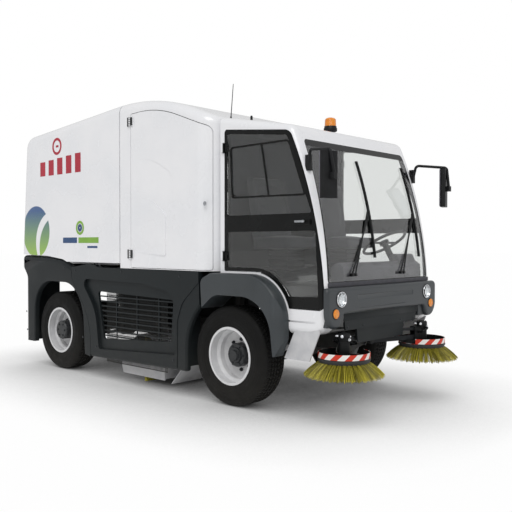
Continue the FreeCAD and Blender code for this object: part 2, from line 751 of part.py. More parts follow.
def fading(points, rise):
    """Side outline as a prism on the door's face that is rise thick in front and runs out to nothing behind."""
    rear_x = service_hinge_x + 120
    front_x = max(point[0] for point in points)
    sides = sorted((0, rise))
    wedge = plan_plate([(rear_x, box_half_width, 0), (front_x, box_half_width + sides[0], 0),
                        (front_x, box_half_width + sides[1], 0)], 0, far)
    return side_plate(points, box_half_width - 20, box_half_width + 20).common(wedge)


def service_door(side):
    """Side door with two embossed arches, one sunk and one raised, that fade towards its hinges."""
    outer = box_form(0)
    panel = side_plate(service_outline(), 0, far).common(outer).cut(core_prism(housing_wall - 4))
    rear_x = service_hinge_x + 120
    sunk = [(rear_x, deck_z + 30, 0), (rear_x, 2290, 0), (60, 2270, 600), (380, 2110, 190), (380, deck_z + 30, 20)]
    raised = [(rear_x, 1352, 0), (rear_x, 1875, 0), (30, 1872, 300), (268, 1745, 130), (268, 1326, 20)]
    panel = panel.cut(fading(sunk, -arch_rise)).fuse(fading(raised, arch_rise / 2).fuse(fading(raised, -arch_rise)))
    hinge_y = box_half_width + 12 + seat
    knuckles = []
    for z in service_hinges:
        barrel = rod((service_hinge_x, hinge_y, z - 45), (service_hinge_x, hinge_y, z + 45), 12)
        leaf = block(service_hinge_x, service_hinge_x + 42, box_half_width - 2, hinge_y + 2, z - 40, z + 40)
        knuckles += [barrel, leaf]
    door = fused([panel] + knuckles)
    return door if side > 0 else mirrored(door)


def water_tank():
    tank = plan_plate([(-400, -640, 80), (260, -640, 80), (260, 640, 80), (-400, 640, 80)],
                      deck_z + housing_wall, 1900)
    neck = rod((60, 0, 1890), (60, 0, 1990), 90)
    return fused([tank, neck])


# Cab

fender_top = 1178
bay_front_x = 1720
fender_foot_z = 500
fender_inner_y = 700
fender_nose_radius = 115
bay_radius = 395
window_margin = 54


def wheel_bay(grow):
    """The cab's cut-out over the front wheel, as a prism across the truck."""
    outline = [(600, fender_top, 0), (bay_front_x, fender_top, bay_radius), (bay_front_x, 0, 0), (600, 0, 0)]
    return side_plate(outline, -far, far, grow)


def cab_side(grow=0):
    side = [(cab_rear_x, cab_bottom, 0), (cab_rear_x, cab_roof_rear_z, 0), brow + (110,),
            screen_corner + (screen_radius,), (chin_x, cab_bottom, 150)]
    return side_plate(side, -far, far, grow)


def cab_plan(inset):
    """Plan of the cab, narrowing a little to the front, with rounded front corners."""
    lean = (cab_rear_half - cab_front_half) / (chin_x - cab_rear_x)
    front = chin_x + 60
    half = cab_front_half - lean * 60
    plan = [(cab_rear_x, -cab_rear_half, 0), (front, -half, 0), (front, half, 0), (cab_rear_x, cab_rear_half, 0)]
    return plan_plate(plan, 0, far, -inset)


def cab_form(inset):
    form = cab_side(-inset).common(cab_plan(inset))
    edges = []
    for edge in form.Edges:
        tip = edge.BoundBox
        middle = edge.valueAt((edge.FirstParameter + edge.LastParameter) / 2)
        if tip.YMax - tip.YMin < 60 and abs(middle.y) > cab_front_half - inset - 40 and middle.x > cab_rear_x + 40:
            if middle.z > cab_bottom + inset + 1:
                edges.append(edge)
    form = form.makeFillet(cab_corner_radius - inset, edges)
    return form.cut(wheel_bay(seat + inset))


def door_outline():
    """Cab door: square at the rear, following the windscreen pillar in front."""
    return [(door_rear_x, door_sill_z, 15), (door_rear_x, 2462, 25), (1722, 2385, 80),
            (screen_corner[0] - 30, screen_corner[1] + 5, screen_radius), (chin_x - 26, door_bottom, 40),
            (1690, door_bottom, 0), (1690, 600, 0), (1300, 600, 0), (1300, door_sill_z, 0)]


def door_leaf(grow):
    """Door outline as a prism, cut along the fender so that its lower edge follows the wheel."""
    outline = door_outline()
    leaf = side_plate(outline[:6] + [(1420, door_bottom, 0), (1420, door_sill_z, 0)], -far, far, grow)
    return leaf.cut(wheel_bay(24 - grow))


def cab_shell():
    """White cab: pillars, roof, rear wall, floor over the wheels, footwell and lower front."""
    shell = cab_form(0).cut(cab_form(cab_wall))
    shell = shell.cut(door_leaf(door_gap).cut(cab_plan(cab_wall + door_gap)))
    doorway = door_leaf(-28).cut(block(-far, far, -600, 600, 0, far))
    shell = shell.cut(doorway)
    shell = shell.cut(screen_opening(0))
    crease = block(1700, 1985, cab_front_half, far, 792, 806)
    shell = shell.cut(crease).cut(mirrored(crease))
    floor = block(1780, 2060, -760, 760, 905, 905 + 35)
    x, hinge_y = cab_hinge
    leaves = []
    for z in cab_hinges:
        leaves += both(block(x - 34, x - cab_hinge_radius - seat, hinge_y - 18, hinge_y + 2, z - 38, z + 38))
    return fused([shell, floor.common(cab_form(5))] + leaves)


def screen_opening(gap):
    top_z = 2318 - gap
    bottom_z = 1112 + gap
    return front_plate([(-792 + gap, bottom_z, 40), (-768 + gap, top_z, 40), (768 - gap, top_z, 40),
                        (792 - gap, bottom_z, 40)], 1600, 2300)


def windscreen():
    skin = cab_form(0).cut(cab_form(glass))
    return skin.common(screen_opening(seat)).common(block(1700, far, -far, far, 0, far))


def windows(gap):
    """Upper and lower window of a cab door as prisms, each smaller all round by gap."""
    upper = [(1014, belt_z + belt_height / 2, 15), (1014, 2425, 20), (1690, 2352, 50), (1712, 2318, 30),
             (1952, belt_z + belt_height / 2, 15)]
    lower = [(1014, 1100, 0), (1014, belt_z - belt_height / 2, 15), (1988, belt_z - belt_height / 2, 15),
             (2022, 1008, 20), (1700, 1000, 0), (1500, 1000, 0)]
    lower = side_plate(lower, -far, far, -gap).cut(wheel_bay(window_margin + gap))
    return side_plate(upper, -far, far, -gap), lower


def cab_door(side):
    """Black door frame with a belt rail and a handle."""
    leaf = cab_form(0).common(door_leaf(0)).cut(cab_plan(cab_wall))
    leaf = leaf.common(block(-far, far, min(0, side * far), max(0, side * far), 0, far))
    for window in windows(0):
        leaf = leaf.cut(window)
    y = side * (cab_front_half + 6)
    handle = block(1760, 1950, min(y, y + side * 22), max(y, y + side * 22), 1598, 1640)
    foot = block(1770, 1940, min(y - side * 22, y), max(y - side * 22, y), 1606, 1632)
    x, hinge_y = cab_hinge
    hinges = []
    for z in cab_hinges:
        hinges.append(rod((x, side * hinge_y, z - 40), (x, side * hinge_y, z + 40), cab_hinge_radius))
        low = side * (hinge_y - 16)
        high = side * (hinge_y - 4)
        hinges.append(block(x, x + 34, min(low, high), max(low, high), z - 36, z + 36))
    return fused([leaf, handle, foot] + hinges)


def cab_glass(side):
    panes = []
    for window in windows(seat):
        pane = window.common(cab_form(6)).cut(cab_plan(6 + glass))
        panes.append(pane.common(block(-far, far, min(0, side * far), max(0, side * far), 0, far)))
    return panes


def front_fender():
    """Moulded fender round the front wheel: flush over the cab's bay, rounded off to the front."""
    outline = [(745, 1120, 70), (880, fender_top, 100), (bay_front_x, fender_top, bay_radius), (bay_front_x, 640, 150),
               (1655, fender_foot_z, 0), (1640, fender_foot_z, 0), (1600, 890, 330), (1330, 985, 300),
               (940, 985, 200), (765, 850, 0)]
    fender = side_plate(outline, fender_inner_y, skirt_outer_y)
    edges = [edge for edge in fender.Edges if abs(edge.BoundBox.YMin - skirt_outer_y) < 0.1
             and edge.BoundBox.ZMax > 1000 and edge.BoundBox.ZMin > 480]
    fender = fender.makeFillet(24, [edge for edge in edges if on_outline(edge, 24)])
    nose = cab_front_half + 12
    plan = [(600, fender_inner_y, 0), (1560, fender_inner_y, 40), (1600, nose, 40), (bay_front_x, nose, 0),
            (bay_front_x, skirt_outer_y, fender_nose_radius), (600, skirt_outer_y, 0)]
    return fender.common(plan_plate(plan, 0, far)).cut(cab_form(-seat))


def on_outline(edge, margin):
    """True for an edge on the outer side of the fender, away from the wheel."""
    middle = edge.valueAt((edge.FirstParameter + edge.LastParameter) / 2)
    return math.hypot(middle.x - front_axle_x, middle.z - axle_z) > 610 + margin


def dashboard():
    """Console behind the windscreen with a hooded instrument pod."""
    console = side_plate([(1900, 940 + seat, 0), (1900, 1240, 60), (1960, 1290, 40), (2030, 1240, 40),
                          (2030, 940 + seat, 0)],
                         -520, 740)
    pod = side_plate([(1880, 1230, 20), (1870, 1330, 20), (1950, 1350, 30), (2000, 1240, 0)], 430, 720)
    return fused([console, pod]).common(cab_form(cab_wall + 2))


def seats():
    """Two seats: sprung base, cushion and backrest."""
    pieces = []
    floor_z = fender_top + seat + cab_wall
    base = [block(1190, 1480, 310, 590, floor_z, 1400)]
    for z in (1260, 1300, 1340):
        base.append(block(1180, 1490, 300, 600, z, z + 20))
    cushion = side_plate([(1130, 1390, 30), (1130, 1500, 40), (1560, 1510, 50), (1560, 1390, 40)], 210, 690)
    back = side_plate([(1120, 1430, 30), (1040, 2020, 40), (1130, 2040, 40), (1235, 1470, 30)], 220, 680)
    return both(fused(base + [cushion, back]))


def steering_wheel():
    """Rim, spokes and column, leaning towards the driver."""
    centre = V(1760, 520, 1450)
    axis = V(-0.5, 0, 0.866)
    rim_ring = Part.makeTorus(215, 14, centre, axis)
    foot = centre - axis * 185
    column = Part.makeCylinder(30, 185, foot, axis)
    spokes = [Part.makeCylinder(11, 210, centre, V(0, side, 0)) for side in (-1, 1)]
    boss = Part.makeCylinder(48, 30, centre - axis * 15, axis)
    arm = rod((foot.x, foot.y, foot.z + 10), (1905, 520, 1262), 26)
    return fused([rim_ring, column, boss, arm] + spokes).cut(dashboard())


# Skirts

def side_panel():
    """Dark side panel between the wheels, with a sunk field, a slotted window and a rolled foot."""
    line = skirt_line(0)
    top = [(rear_axle_x + 306, line[3][1], 0), line[4], line[5], (735, deck_z - 6, 0)]
    rear = [(rear_axle_x + 674, 215, 0), (rear_axle_x + 674, 600, 700), (rear_axle_x + 306, 1060, 100)]
    outline = top + [(745, 870, 0), (panel_front_x, 640, 500), (panel_front_x, 240, 30)] + rear
    panel = side_plate(outline, skirt_inner_y, skirt_outer_y)
    lip = [edge for edge in panel.Edges if edge.BoundBox.YMin > skirt_outer_y - 1
           and edge.BoundBox.XMax < 746 and edge.BoundBox.XMin > panel_front_x - 1 and edge.BoundBox.ZMin > 269
           and edge.BoundBox.ZMax < 871]
    panel = panel.makeFillet(panel_lip, lip)
    flank = [(760, 1108, 0), (735, 1084, 0), (504, 883, 260), (436, 700, 200), (436, 200, 0), (760, 200, 0)]
    panel = panel.cut(side_plate(flank, skirt_outer_y - flank_step, far))
    field = [(rear_axle_x + 479, 1060, 60), (-120, 1045, 200), (300, 985, 150), (440, 850, 100), (415, 385, 40),
             (rear_axle_x + 824, 312, 40), (rear_axle_x + 769, 720, 500)]
    panel = panel.cut(side_plate(field, skirt_outer_y - 34, far))
    panel = panel.cut(side_plate(panel_window, 0, far))
    slats = []
    for i in range(9):
        z = 455 + i * 52
        slats.append(block(rear_axle_x + 694, 380, skirt_inner_y, skirt_inner_y + 10, z, z + 14))
    for x in (-600, -250, 100):
        slats.append(block(x, x + 14, skirt_inner_y, skirt_inner_y + 10, 400, 960))
    grille = fused(slats).common(side_plate(panel_window, 0, far, 6))
    closing = block(panel_front_x - 8, panel_front_x, 800, skirt_inner_y + 10, 289, 800)
    return fused([panel, grille, closing])


panel_window = [(rear_axle_x + 769, 930, 30), (345, 900, 30), (315, 495, 30), (rear_axle_x + 874, 425, 30)]


def rear_fender():
    """Dark corner panel over the rear wheel, wrapped round to the back."""
    line = skirt_line(0)
    outline = [(skirt_rear_x, line[0][1] - 4, 30), line[1], line[2], (rear_axle_x + 300, line[3][1] + 4, 0),
               (rear_axle_x + 300, 1062, 100), (rear_axle_x + 668, 602, 700), (rear_axle_x + 668, 215, 0),
               (rear_axle_x + 554, 235, 0), (rear_axle_x + 524, 700, 420), (rear_axle_x + 354, 1005, 380),
               (rear_axle_x - 491, 1005, 350), (rear_axle_x - 506, 271, 0), (skirt_rear_x + 91, 271, 0),
               (skirt_rear_x + 91, 1040, 90),
               (skirt_rear_x, 1145, 90)]
    fender = side_plate(outline, 560, skirt_outer_y)
    corner = [edge for edge in fender.Edges if edge.BoundBox.XMax < skirt_rear_x + 95
              and edge.BoundBox.YMin > skirt_outer_y - 1 and edge.BoundBox.ZMax > edge.BoundBox.ZMin + 1
              and edge.BoundBox.ZMax < line[0][1] - 20]
    fender = fender.makeFillet(55, corner)
    arch = [edge for edge in fender.Edges if edge.BoundBox.YMin > skirt_outer_y - 1
            and edge.BoundBox.XMin > rear_axle_x - 496 and edge.BoundBox.XMax < rear_axle_x + 525
            and edge.BoundBox.ZMax < 1006 and edge.BoundBox.ZMin > 271]
    fender = fender.makeFillet(arch_lip, arch)
    room = block(skirt_rear_x + skirt_depth, rear_axle_x + 874, 0, skirt_inner_y, 1060, far)
    return fender.cut(room).cut(block(skirt_rear_x + 91 + skirt_depth, rear_axle_x + 874, 0, skirt_inner_y, 0, 1061))


def rear_bumper():
    """Under-run beam with its two brackets on the frame's end."""
    beam = block(rail_rear_x - 8, rail_rear_x + 72, -550, 550, 330, 470)
    ties = both(block(rail_rear_x, rail_rear_x + 64, rail_inner_y, rail_outer_y, 460, rail_bottom))
    return fused([beam] + ties)


def tail_lamps():
    """Upright lamp clusters on the rear corners."""
    return both(block(skirt_rear_x - 26 - seat, skirt_rear_x - seat, 640, 760, 1168, 1268))


def front_bumper():
    """Bulged bumper over the cab's lower front, with lamp pods at its ends and an embossed bar."""
    end = bumper_half + bumper_lip
    corner = [(2050, bumper_half, 0), (2090, bumper_half, 12), (2104, end, 10), (bumper_front_x, end, 18)]
    plan = corner + [(x, -y, radius) for x, y, radius in reversed(corner)]
    body = plan_plate(plan, bumper_end_bottom, bumper_top)
    under = front_plate([(-650, 0, 0), (-650, bumper_middle_bottom, 50), (650, bumper_middle_bottom, 50),
                         (650, 0, 0)], 1900, 2300)
    body = body.cut(under)
    bar = front_plate([(-450, 968, 20), (-450, 1016, 20), (450, 1016, 20), (450, 968, 20)],
                      bumper_front_x - 12, 2300)
    body = body.cut(bar)
    body = body.cut(cab_form(0))
    for side in (-1, 1):
        body = body.cut(rod((1900, side * lamp_y, lamp_z), (2300, side * lamp_y, lamp_z), lamp_radius))
        body = body.cut(rod((1900, side * indicator_y, indicator_z), (2300, side * indicator_y, indicator_z),
                            indicator_radius))
    return body


def front_lamps():
    """Round headlamps and amber indicators set into the bumper."""
    lamps = []
    for side in (-1, 1):
        for y, z, radius in ((lamp_y, lamp_z, lamp_radius), (indicator_y, indicator_z, indicator_radius)):
            fit = radius - seat
            body = turned([(0, 0), (0, fit), (52, fit), (62, fit * 0.8), (68, 0)],
                          (bumper_front_x - 54, side * y, z), (1, 0, 0))
            lamps.append(body.cut(cab_form(0)))
    return lamps


def splash_plates():
    """Sloping plates under the cab's lower corners, behind the side brushes."""
    z = cab_bottom + 45
    plate = side_plate([(1779, z, 0), (2040, z, 0), (1928, 477, 8), (1657, 477, 8)], 838, 848)
    return both(plate.cut(cab_form(-seat)))


def bumper_apron():
    """Sunk lower panel under the bumper and the towing plate under it."""
    apron = front_plate([(-590, bumper_middle_bottom, 0), (-560, 720, 20), (560, 720, 20),
                         (590, bumper_middle_bottom, 0)], 2066, 2082)
    plate = front_plate([(-380, 722, 0), (-360, 596, 20), (360, 596, 20), (380, 722, 0)], 2050, 2068)
    return fused([apron, plate]).cut(cab_form(0))


def wipers():
    """Two wipers, each with two parallel arms and an upright blade."""
    over = cab_side(20).cut(cab_side(seat)).common(block(1700, far, -far, far, 0, far))
    sets = []
    for pivot_y, blade_y in ((-470, -100), (300, 655)):
        blade = over.common(block(1600, far, blade_y - 9, blade_y + 9, 1320, 2180))
        pieces = [blade]
        for shift in (0, 46):
            low = (screen_x(1180) + 16, pivot_y + shift, 1180)
            high = (screen_x(1720 + shift) + 16, blade_y, 1720 + shift)
            pieces.append(rod(low, high, 7))
            pieces.append(rod((screen_x(1180) - 2, low[1], 1180), (screen_x(1180) + 30, low[1], 1180), 14))
        sets.append(fused(pieces).cut(cab_form(0)).cut(cab_side(seat)))
    return sets


def mirrors():
    """Mirror heads on bent tube arms from the windscreen pillars, turned a little inwards."""
    x, y, z = mirror_centre
    tube = bent_tube([(1900, 815, 2060), (1925, 838, 2212), (x + 20, y + 18, 2180), (x + 54, y, z - 10)], 13, 34)
    foot = block(1870, 1916, 797, 835, 2040, 2170)
    clamp = block(x + 10, x + 66, y - 22, y + 22, z - 35, z + 15)
    head = plan_plate([(-25, -82, 18), (25, -70, 22), (25, 70, 22), (-25, 82, 18)], z - mirror_half_height,
                      z + mirror_half_height)
    head.rotate(V(0, 0, 0), V(0, 0, 1), 18)
    arm = fused([tube, foot, clamp]).cut(cab_form(0))
    return both(fused([arm, head.translated(V(x, y, 0))]))


def roof_fittings():
    """Beacon on the middle of the roof, whip antenna and stub antenna by the right door."""
    base = turned([(0, 0), (0, 64), (44, 61), (44, 56), (110, 54), (135, 42), (146, 0)], (1500, 0, 2480), (0, 0, 1))
    whip = fused([rod((990, -820, 2500), (990, -820, 2590), 15), rod((990, -820, 2585), (1020, -820, 2880), 4)])
    stub = rod((1130, -690, 2530), (1130, -690, 2600), 12)
    return [piece.cut(cab_form(0)) for piece in (base, whip, stub)]


# Side brushes

def brush_arm(side, z, width, height, hub_radius):
    """Arm or link of the brush's parallelogram, with a hub at each end."""
    along = arm_direction(side)
    across = V(*arm_normal(side))
    start = V(arm_pivot[0], side * arm_pivot[1], z)
    reach = (V(brush_x, side * brush_y, z) - start).Length - head_reach
    end = start + along * reach
    bar = Part.makeBox(reach, width, height, V(0, -width / 2, -height / 2))
    bar.rotate(V(0, 0, 0), V(0, 0, 1), math.degrees(math.atan2(along.y, along.x)))
    bar = bar.translated(start)
    hubs = [Part.makeCylinder(hub_radius, 50, spot - across * 25, across) for spot in (start, end)]
    arm = fused([bar] + hubs)
    for spot, radius in ((start, 15), (end, 12)):
        arm = arm.cut(Part.makeCylinder(radius + running, far, spot - across * far / 2, across))
    return arm


def brush_head(side):
    """Motor, clevis and deck of a side brush, with the striped guard band on the outer half."""
    along = arm_direction(side)
    across = V(*arm_normal(side))
    centre = V(brush_x, side * brush_y, 0)
    joint = centre - along * head_reach
    pieces = [rod((centre.x, centre.y, brush_deck_z), (centre.x, centre.y, 700), 48),
              rod((centre.x, centre.y, brush_disc_z + 8), (centre.x, centre.y, 520), 15),
              rod((centre.x, centre.y, brush_deck_z), (centre.x, centre.y, brush_deck_z + 8), deck_radius)]
    for offset in (27, -35):
        cheek = Part.makeBox(head_reach + 22, 8, link_z - arm_z + 44, V(-22, 0, arm_z - 22))
        cheek = cheek.translated(V(0, offset, 0))
        cheek.rotate(V(0, 0, 0), V(0, 0, 1), math.degrees(math.atan2(along.y, along.x)))
        pieces.append(cheek.translated(V(joint.x, joint.y, 0)))
    for z in (arm_z, link_z):
        pieces.append(Part.makeCylinder(12, 70, V(joint.x, joint.y, z) - across * 35, across))
    band = rod((centre.x, centre.y, brush_deck_z + 4), (centre.x, centre.y, brush_deck_z + 53), deck_radius)
    band = band.cut(rod((centre.x, centre.y, 0), (centre.x, centre.y, far), deck_radius - 5))
    keep = block(-far, far, -far, far, 0, far).cut(block(-far, 0, -120, 120, 0, far))
    keep.rotate(V(0, 0, 0), V(0, 0, 1), math.degrees(math.atan2(along.y, along.x)))
    pieces.append(band.common(keep.translated(centre)))
    for way in (-1, 1):
        port = centre + across * (way * 44) + V(0, 0, 648)
        bow = centre + across * (way * 95) + V(0, 0, 655)
        back = joint + across * (way * 95) + along * 22 + V(0, 0, 618)
        cheek = joint + across * (way * 30) + along * 22 + V(0, 0, 612)
        pieces.append(bent_tube([tuple(p) for p in (port, bow, back, cheek)], hose_radius, 24))
        pieces.append(Part.makeCylinder(hose_radius + 5, 22, port - across * way * 4, bow - port))
        pieces.append(Part.makeCylinder(hose_radius + 4, 22, cheek, back - cheek))
    return fused(pieces)


def side_brush(side):
    """Brush plate with its skirt of bristles, splayed outwards to the ground side."""
    height = brush_disc_z - brush_bottom
    profile = [(0, 15 + running), (0, 110), (-height, brush_radius - 90), (-height, brush_radius),
               (0, brush_disc_radius), (8, brush_disc_radius + 8), (24, brush_disc_radius + 4), (28, 60),
               (28, 15 + running)]
    return turned(profile, (brush_x, side * brush_y, brush_disc_z), (0, 0, 1))


save("frame_rails", frame_rails())
save("crossmembers", crossmembers())
save("body_subframe", body_subframe())
save("front_axle", front_axle())
save("rear_axle", rear_axle())
save("engine_block", engine_block())
save("oil_coolers", oil_coolers())
save("broom_housing", broom_housing())
save("main_broom", main_broom())
save("tie_rod", tie_rod())
for name, side in (("right", -1), ("left", 1)):
    save("knuckle_" + name, knuckle(side))
    save("tyre_front_" + name, tyre(front_axle_x, side))
    save("tyre_rear_" + name, tyre(rear_axle_x, side))
    save("rim_front_" + name, rim(front_axle_x, side, True))
    save("rim_rear_" + name, rim(rear_axle_x, side, False))
    save("brush_arm_" + name, brush_arm(side, arm_z, 34, 40, 28))
    save("brush_link_" + name, brush_arm(side, link_z, 24, 24, 24))
    save("brush_head_" + name, brush_head(side))
    save("side_brush_" + name, side_brush(side))
    save("service_door_" + name, service_door(side))
    save("cab_door_" + name, cab_door(side))
    save("cab_glass_" + name, cab_glass(side))
save("hopper", hopper())
save("hopper_door", hopper_door())
save("tip_barrels", tip_barrels())
save("tip_rods", tip_rods())
save("engine_housing", engine_housing())
save("water_tank", water_tank())
save("cab_shell", cab_shell())
save("windscreen", windscreen())
save("dashboard", dashboard())
save("seats", seats())
save("steering_wheel", steering_wheel())
save("front_fenders", both(front_fender()))
save("side_panels", both(side_panel()))
save("rear_fenders", both(rear_fender()))
save("rear_bumper", rear_bumper())
save("tail_lamps", tail_lamps())
save("front_bumper", front_bumper())
save("front_lamps", front_lamps())
save("bumper_apron", bumper_apron())
save("splash_plates", splash_plates())
save("wipers", wipers())
save("mirrors", mirrors())
save("roof_fittings", roof_fittings())
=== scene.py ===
import math
import random

import bpy
from mathutils import Matrix, Vector


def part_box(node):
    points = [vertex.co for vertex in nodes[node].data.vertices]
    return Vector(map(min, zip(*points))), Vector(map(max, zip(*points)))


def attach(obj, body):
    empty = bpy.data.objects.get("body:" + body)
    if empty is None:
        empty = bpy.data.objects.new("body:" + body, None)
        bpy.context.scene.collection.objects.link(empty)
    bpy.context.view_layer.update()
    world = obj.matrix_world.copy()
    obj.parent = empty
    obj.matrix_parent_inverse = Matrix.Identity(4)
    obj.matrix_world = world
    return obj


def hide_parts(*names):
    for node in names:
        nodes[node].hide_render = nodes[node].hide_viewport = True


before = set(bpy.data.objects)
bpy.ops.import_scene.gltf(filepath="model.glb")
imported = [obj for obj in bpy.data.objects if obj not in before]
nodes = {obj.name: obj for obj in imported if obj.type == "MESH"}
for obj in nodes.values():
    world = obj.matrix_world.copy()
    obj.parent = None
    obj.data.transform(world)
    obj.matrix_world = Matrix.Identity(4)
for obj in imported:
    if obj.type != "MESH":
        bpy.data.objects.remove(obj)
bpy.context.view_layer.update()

# Camera
# A normal lens at about shoulder height, looking at the right front corner of the truck.
# Its place, turn and length are fitted to the wheels, sills and roof lines of the photograph.
lens = 49.07
film_width = 36
eye = (5.519, -5.299, 1.441)
eye_turn = math.radians(42.99)
eye_dip = math.radians(1.0)

bpy.ops.object.camera_add(location=eye, rotation=(math.pi / 2 - eye_dip, 0, eye_turn))
camera = bpy.context.object
camera.data.lens = lens
camera.data.sensor_width = film_width
bpy.context.scene.camera = camera


# Room and light
# A studio with a pale seamless floor under an even white sky, and one broad lamp high in front.
# The floor is matt paint on smooth board. To the camera it glows white,
# with a painted shadow under the truck.
def linear(code):
    """Linear colour of an sRGB hex value."""
    shares = [int(code[i:i + 2], 16) / 255 for i in (0, 2, 4)]
    return [s / 12.92 if s <= 0.04045 else ((s + 0.055) / 1.055) ** 2.4 for s in shares] + [1.0]


def add(tree, kind, inputs=(), **settings):
    """Adds a node with its own settings; each input takes a value, or another node's output to link to."""
    made = tree.nodes.new("ShaderNode" + kind)
    for name, value in settings.items():
        setattr(made, name, value)
    for place, value in dict(inputs).items():
        if isinstance(value, bpy.types.NodeSocket):
            tree.links.new(value, made.inputs[place])
        else:
            made.inputs[place].default_value = value
    return made


bpy.context.scene.view_settings.view_transform = "Standard"
sky = bpy.data.worlds.new("studio_sky")
bpy.context.scene.world = sky
sky.use_nodes = True
sky_light = 0.63
rays = add(sky.node_tree, "LightPath")
straight = add(sky.node_tree, "Math", {0: rays.outputs["Is Camera Ray"],
                                       1: rays.outputs["Is Transmission Ray"]}, operation="MAXIMUM")
shown = add(sky.node_tree, "MapRange", {"Value": straight.outputs[0], "To Min": sky_light, "To Max": 1.0})
backdrop = sky.node_tree.nodes["Background"]
backdrop.inputs["Color"].default_value = (1, 1, 1, 1)
sky.node_tree.links.new(shown.outputs[0], backdrop.inputs["Strength"])

lamp_turn = [math.radians(turn) for turn in (38, 14, 20)]
lamp_strength = 1.15
lamp_breadth = math.radians(35)
bpy.ops.object.light_add(type="SUN", rotation=lamp_turn)
bpy.context.object.data.energy = lamp_strength
bpy.context.object.data.angle = lamp_breadth

# Painted shadow: to the camera the floor glows white, darkened by ambient occlusion
# where the truck stands close over it.
floor_reach = 200
shade_reach = 1.5
shade_depth = 1.25
white_share = 0.95
bpy.ops.object.select_all(action="DESELECT")
bpy.ops.mesh.primitive_plane_add(size=floor_reach, location=(0, 0, 0))
ground = bpy.context.object
ground.name = "floor"
board = bpy.data.materials.new("matt_white_board")
board.use_nodes = True
tree = board.node_tree
paint = tree.nodes["Principled BSDF"]
paint.inputs["Base Color"].default_value = linear("FAFAFA")
paint.inputs["Roughness"].default_value = 0.9
paint.inputs["Specular IOR Level"].default_value = 0.1
rays = add(tree, "LightPath")
shelter = add(tree, "AmbientOcclusion", {"Distance": shade_reach}, samples=12)
painted_shadow_strength = add(tree, "Math", {0: shelter.outputs["AO"], 1: shade_depth}, operation="POWER")
lit = add(tree, "Emission", {"Color": (1, 1, 1, 1), "Strength": painted_shadow_strength.outputs[0]})
share = add(tree, "Math", {0: rays.outputs["Is Camera Ray"], 1: white_share}, operation="MULTIPLY")
blend = add(tree, "MixShader", {0: share.outputs[0], 1: paint.outputs[0], 2: lit.outputs[0]})
tree.links.new(blend.outputs[0], tree.nodes["Material Output"].inputs["Surface"])
ground.data.materials.append(board)


# Chassis, axles and steering
# Welded and forged steel under satin black stoving paint, with a thin film of road dust that is thickest
# near the ground. All of it is carried over from the frame, and only the paint is added.
def begin(name, **sockets):
    """New material, its node tree, its shader with these sockets set, and the piece's own coordinates."""
    made = bpy.data.materials.new(name)
    made.use_nodes = True
    tree = made.node_tree
    shader = tree.nodes["Principled BSDF"]
    for socket, value in sockets.items():
        shader.inputs[socket.replace("_", " ")].default_value = value
    return made, tree, shader, add(tree, "TexCoord").outputs["Object"]


def mottle(tree, shader, place, colour, shade, patch, rough, worn):
    """Colour drifts to shade, and roughness to worn, over patches of that many millimetres."""
    cloud = add(tree, "TexNoise", {"Vector": place, "Scale": 1000 / patch, "Detail": 5.0})
    drift = add(tree, "MapRange", {"Value": cloud.outputs["Fac"], "From Min": 0.38, "From Max": 0.68})
    tint = add(tree, "Mix", {0: drift.outputs[0], 6: linear(colour), 7: linear(shade)}, data_type="RGBA")
    gloss = add(tree, "MapRange", {"Value": drift.outputs[0], "To Min": rough, "To Max": worn})
    tree.links.new(tint.outputs[2], shader.inputs["Base Color"])
    tree.links.new(gloss.outputs[0], shader.inputs["Roughness"])
    return tint.outputs[2]


def grain(tree, shader, place, across, height):
    """Fine relief, its bumps that many millimetres across and high."""
    noise = add(tree, "TexNoise", {"Vector": place, "Scale": 1000 / across, "Detail": 2.0})
    relief = add(tree, "Bump", {"Height": noise.outputs["Fac"], "Strength": 0.6, "Distance": height / 1000})
    tree.links.new(relief.outputs["Normal"], shader.inputs["Normal"])


def recolour(tree, shader, under, share, colour):
    """Lays a hex colour, or another node's colour, over what is there, as far as share says."""
    over = linear(colour) if isinstance(colour, str) else colour
    laid = add(tree, "Mix", {0: share, 6: under, 7: over}, data_type="RGBA")
    tree.links.new(laid.outputs[2], shader.inputs["Base Color"])
    return laid.outputs[2]


def dust(tree, shader, place, under, colour, low, high, most):
    """Road dust that thins out from height low to height high, in metres, broken up by clouds."""
    height = add(tree, "SeparateXYZ", {0: place}).outputs[2]
    fade = add(tree, "MapRange", {"Value": height, "From Min": low, "From Max": high,
                                  "To Min": most, "To Max": 0.0})
    cloud = add(tree, "TexNoise", {"Vector": place, "Scale": 1000 / 90, "Detail": 6.0, "Roughness": 0.65})
    share = add(tree, "Math", {0: fade.outputs[0], 1: cloud.outputs["Fac"]}, operation="MULTIPLY")
    return recolour(tree, shader, under, share.outputs[0], colour)


def finish(name, colour, shade, patch, sheen, bumps=None, road=None, **sockets):
    """Material whose colour and roughness drift over patches, with bumps (across, high) and road dust."""
    made, tree, shader, place = begin(name, **sockets)
    under = mottle(tree, shader, place, colour, shade, patch, *sheen)
    if road:
        dust(tree, shader, place, under, *road)
    if bumps:
        grain(tree, shader, place, *bumps)
    return made


weld_reach = 0.00002
crease = math.radians(28)


def coat(made, *names):
    """Gives these carried-over nodes a material, and smooth shading that stops at their creases."""
    for name in names:
        piece = nodes[name]
        piece.data.materials.clear()
        piece.data.materials.append(made)
        piece.modifiers.new("weld", "WELD").merge_threshold = weld_reach
        piece.modifiers.new("creases", "EDGE_SPLIT").split_angle = crease
        for face in piece.data.polygons:
            face.use_smooth = True


chassis_black = finish("stoved_satin_black", "141516", "1B1D1E", 140, (0.42, 0.6), (3, 0.12),
                       road=("6E6A62", 0.2, 1.1, 0.35), Specular_IOR_Level=0.25)
coat(chassis_black, "frame_rails", "crossmembers", "body_subframe", "front_axle", "rear_axle",
     "rear_bumper", "knuckle_right", "knuckle_left", "tie_rod")


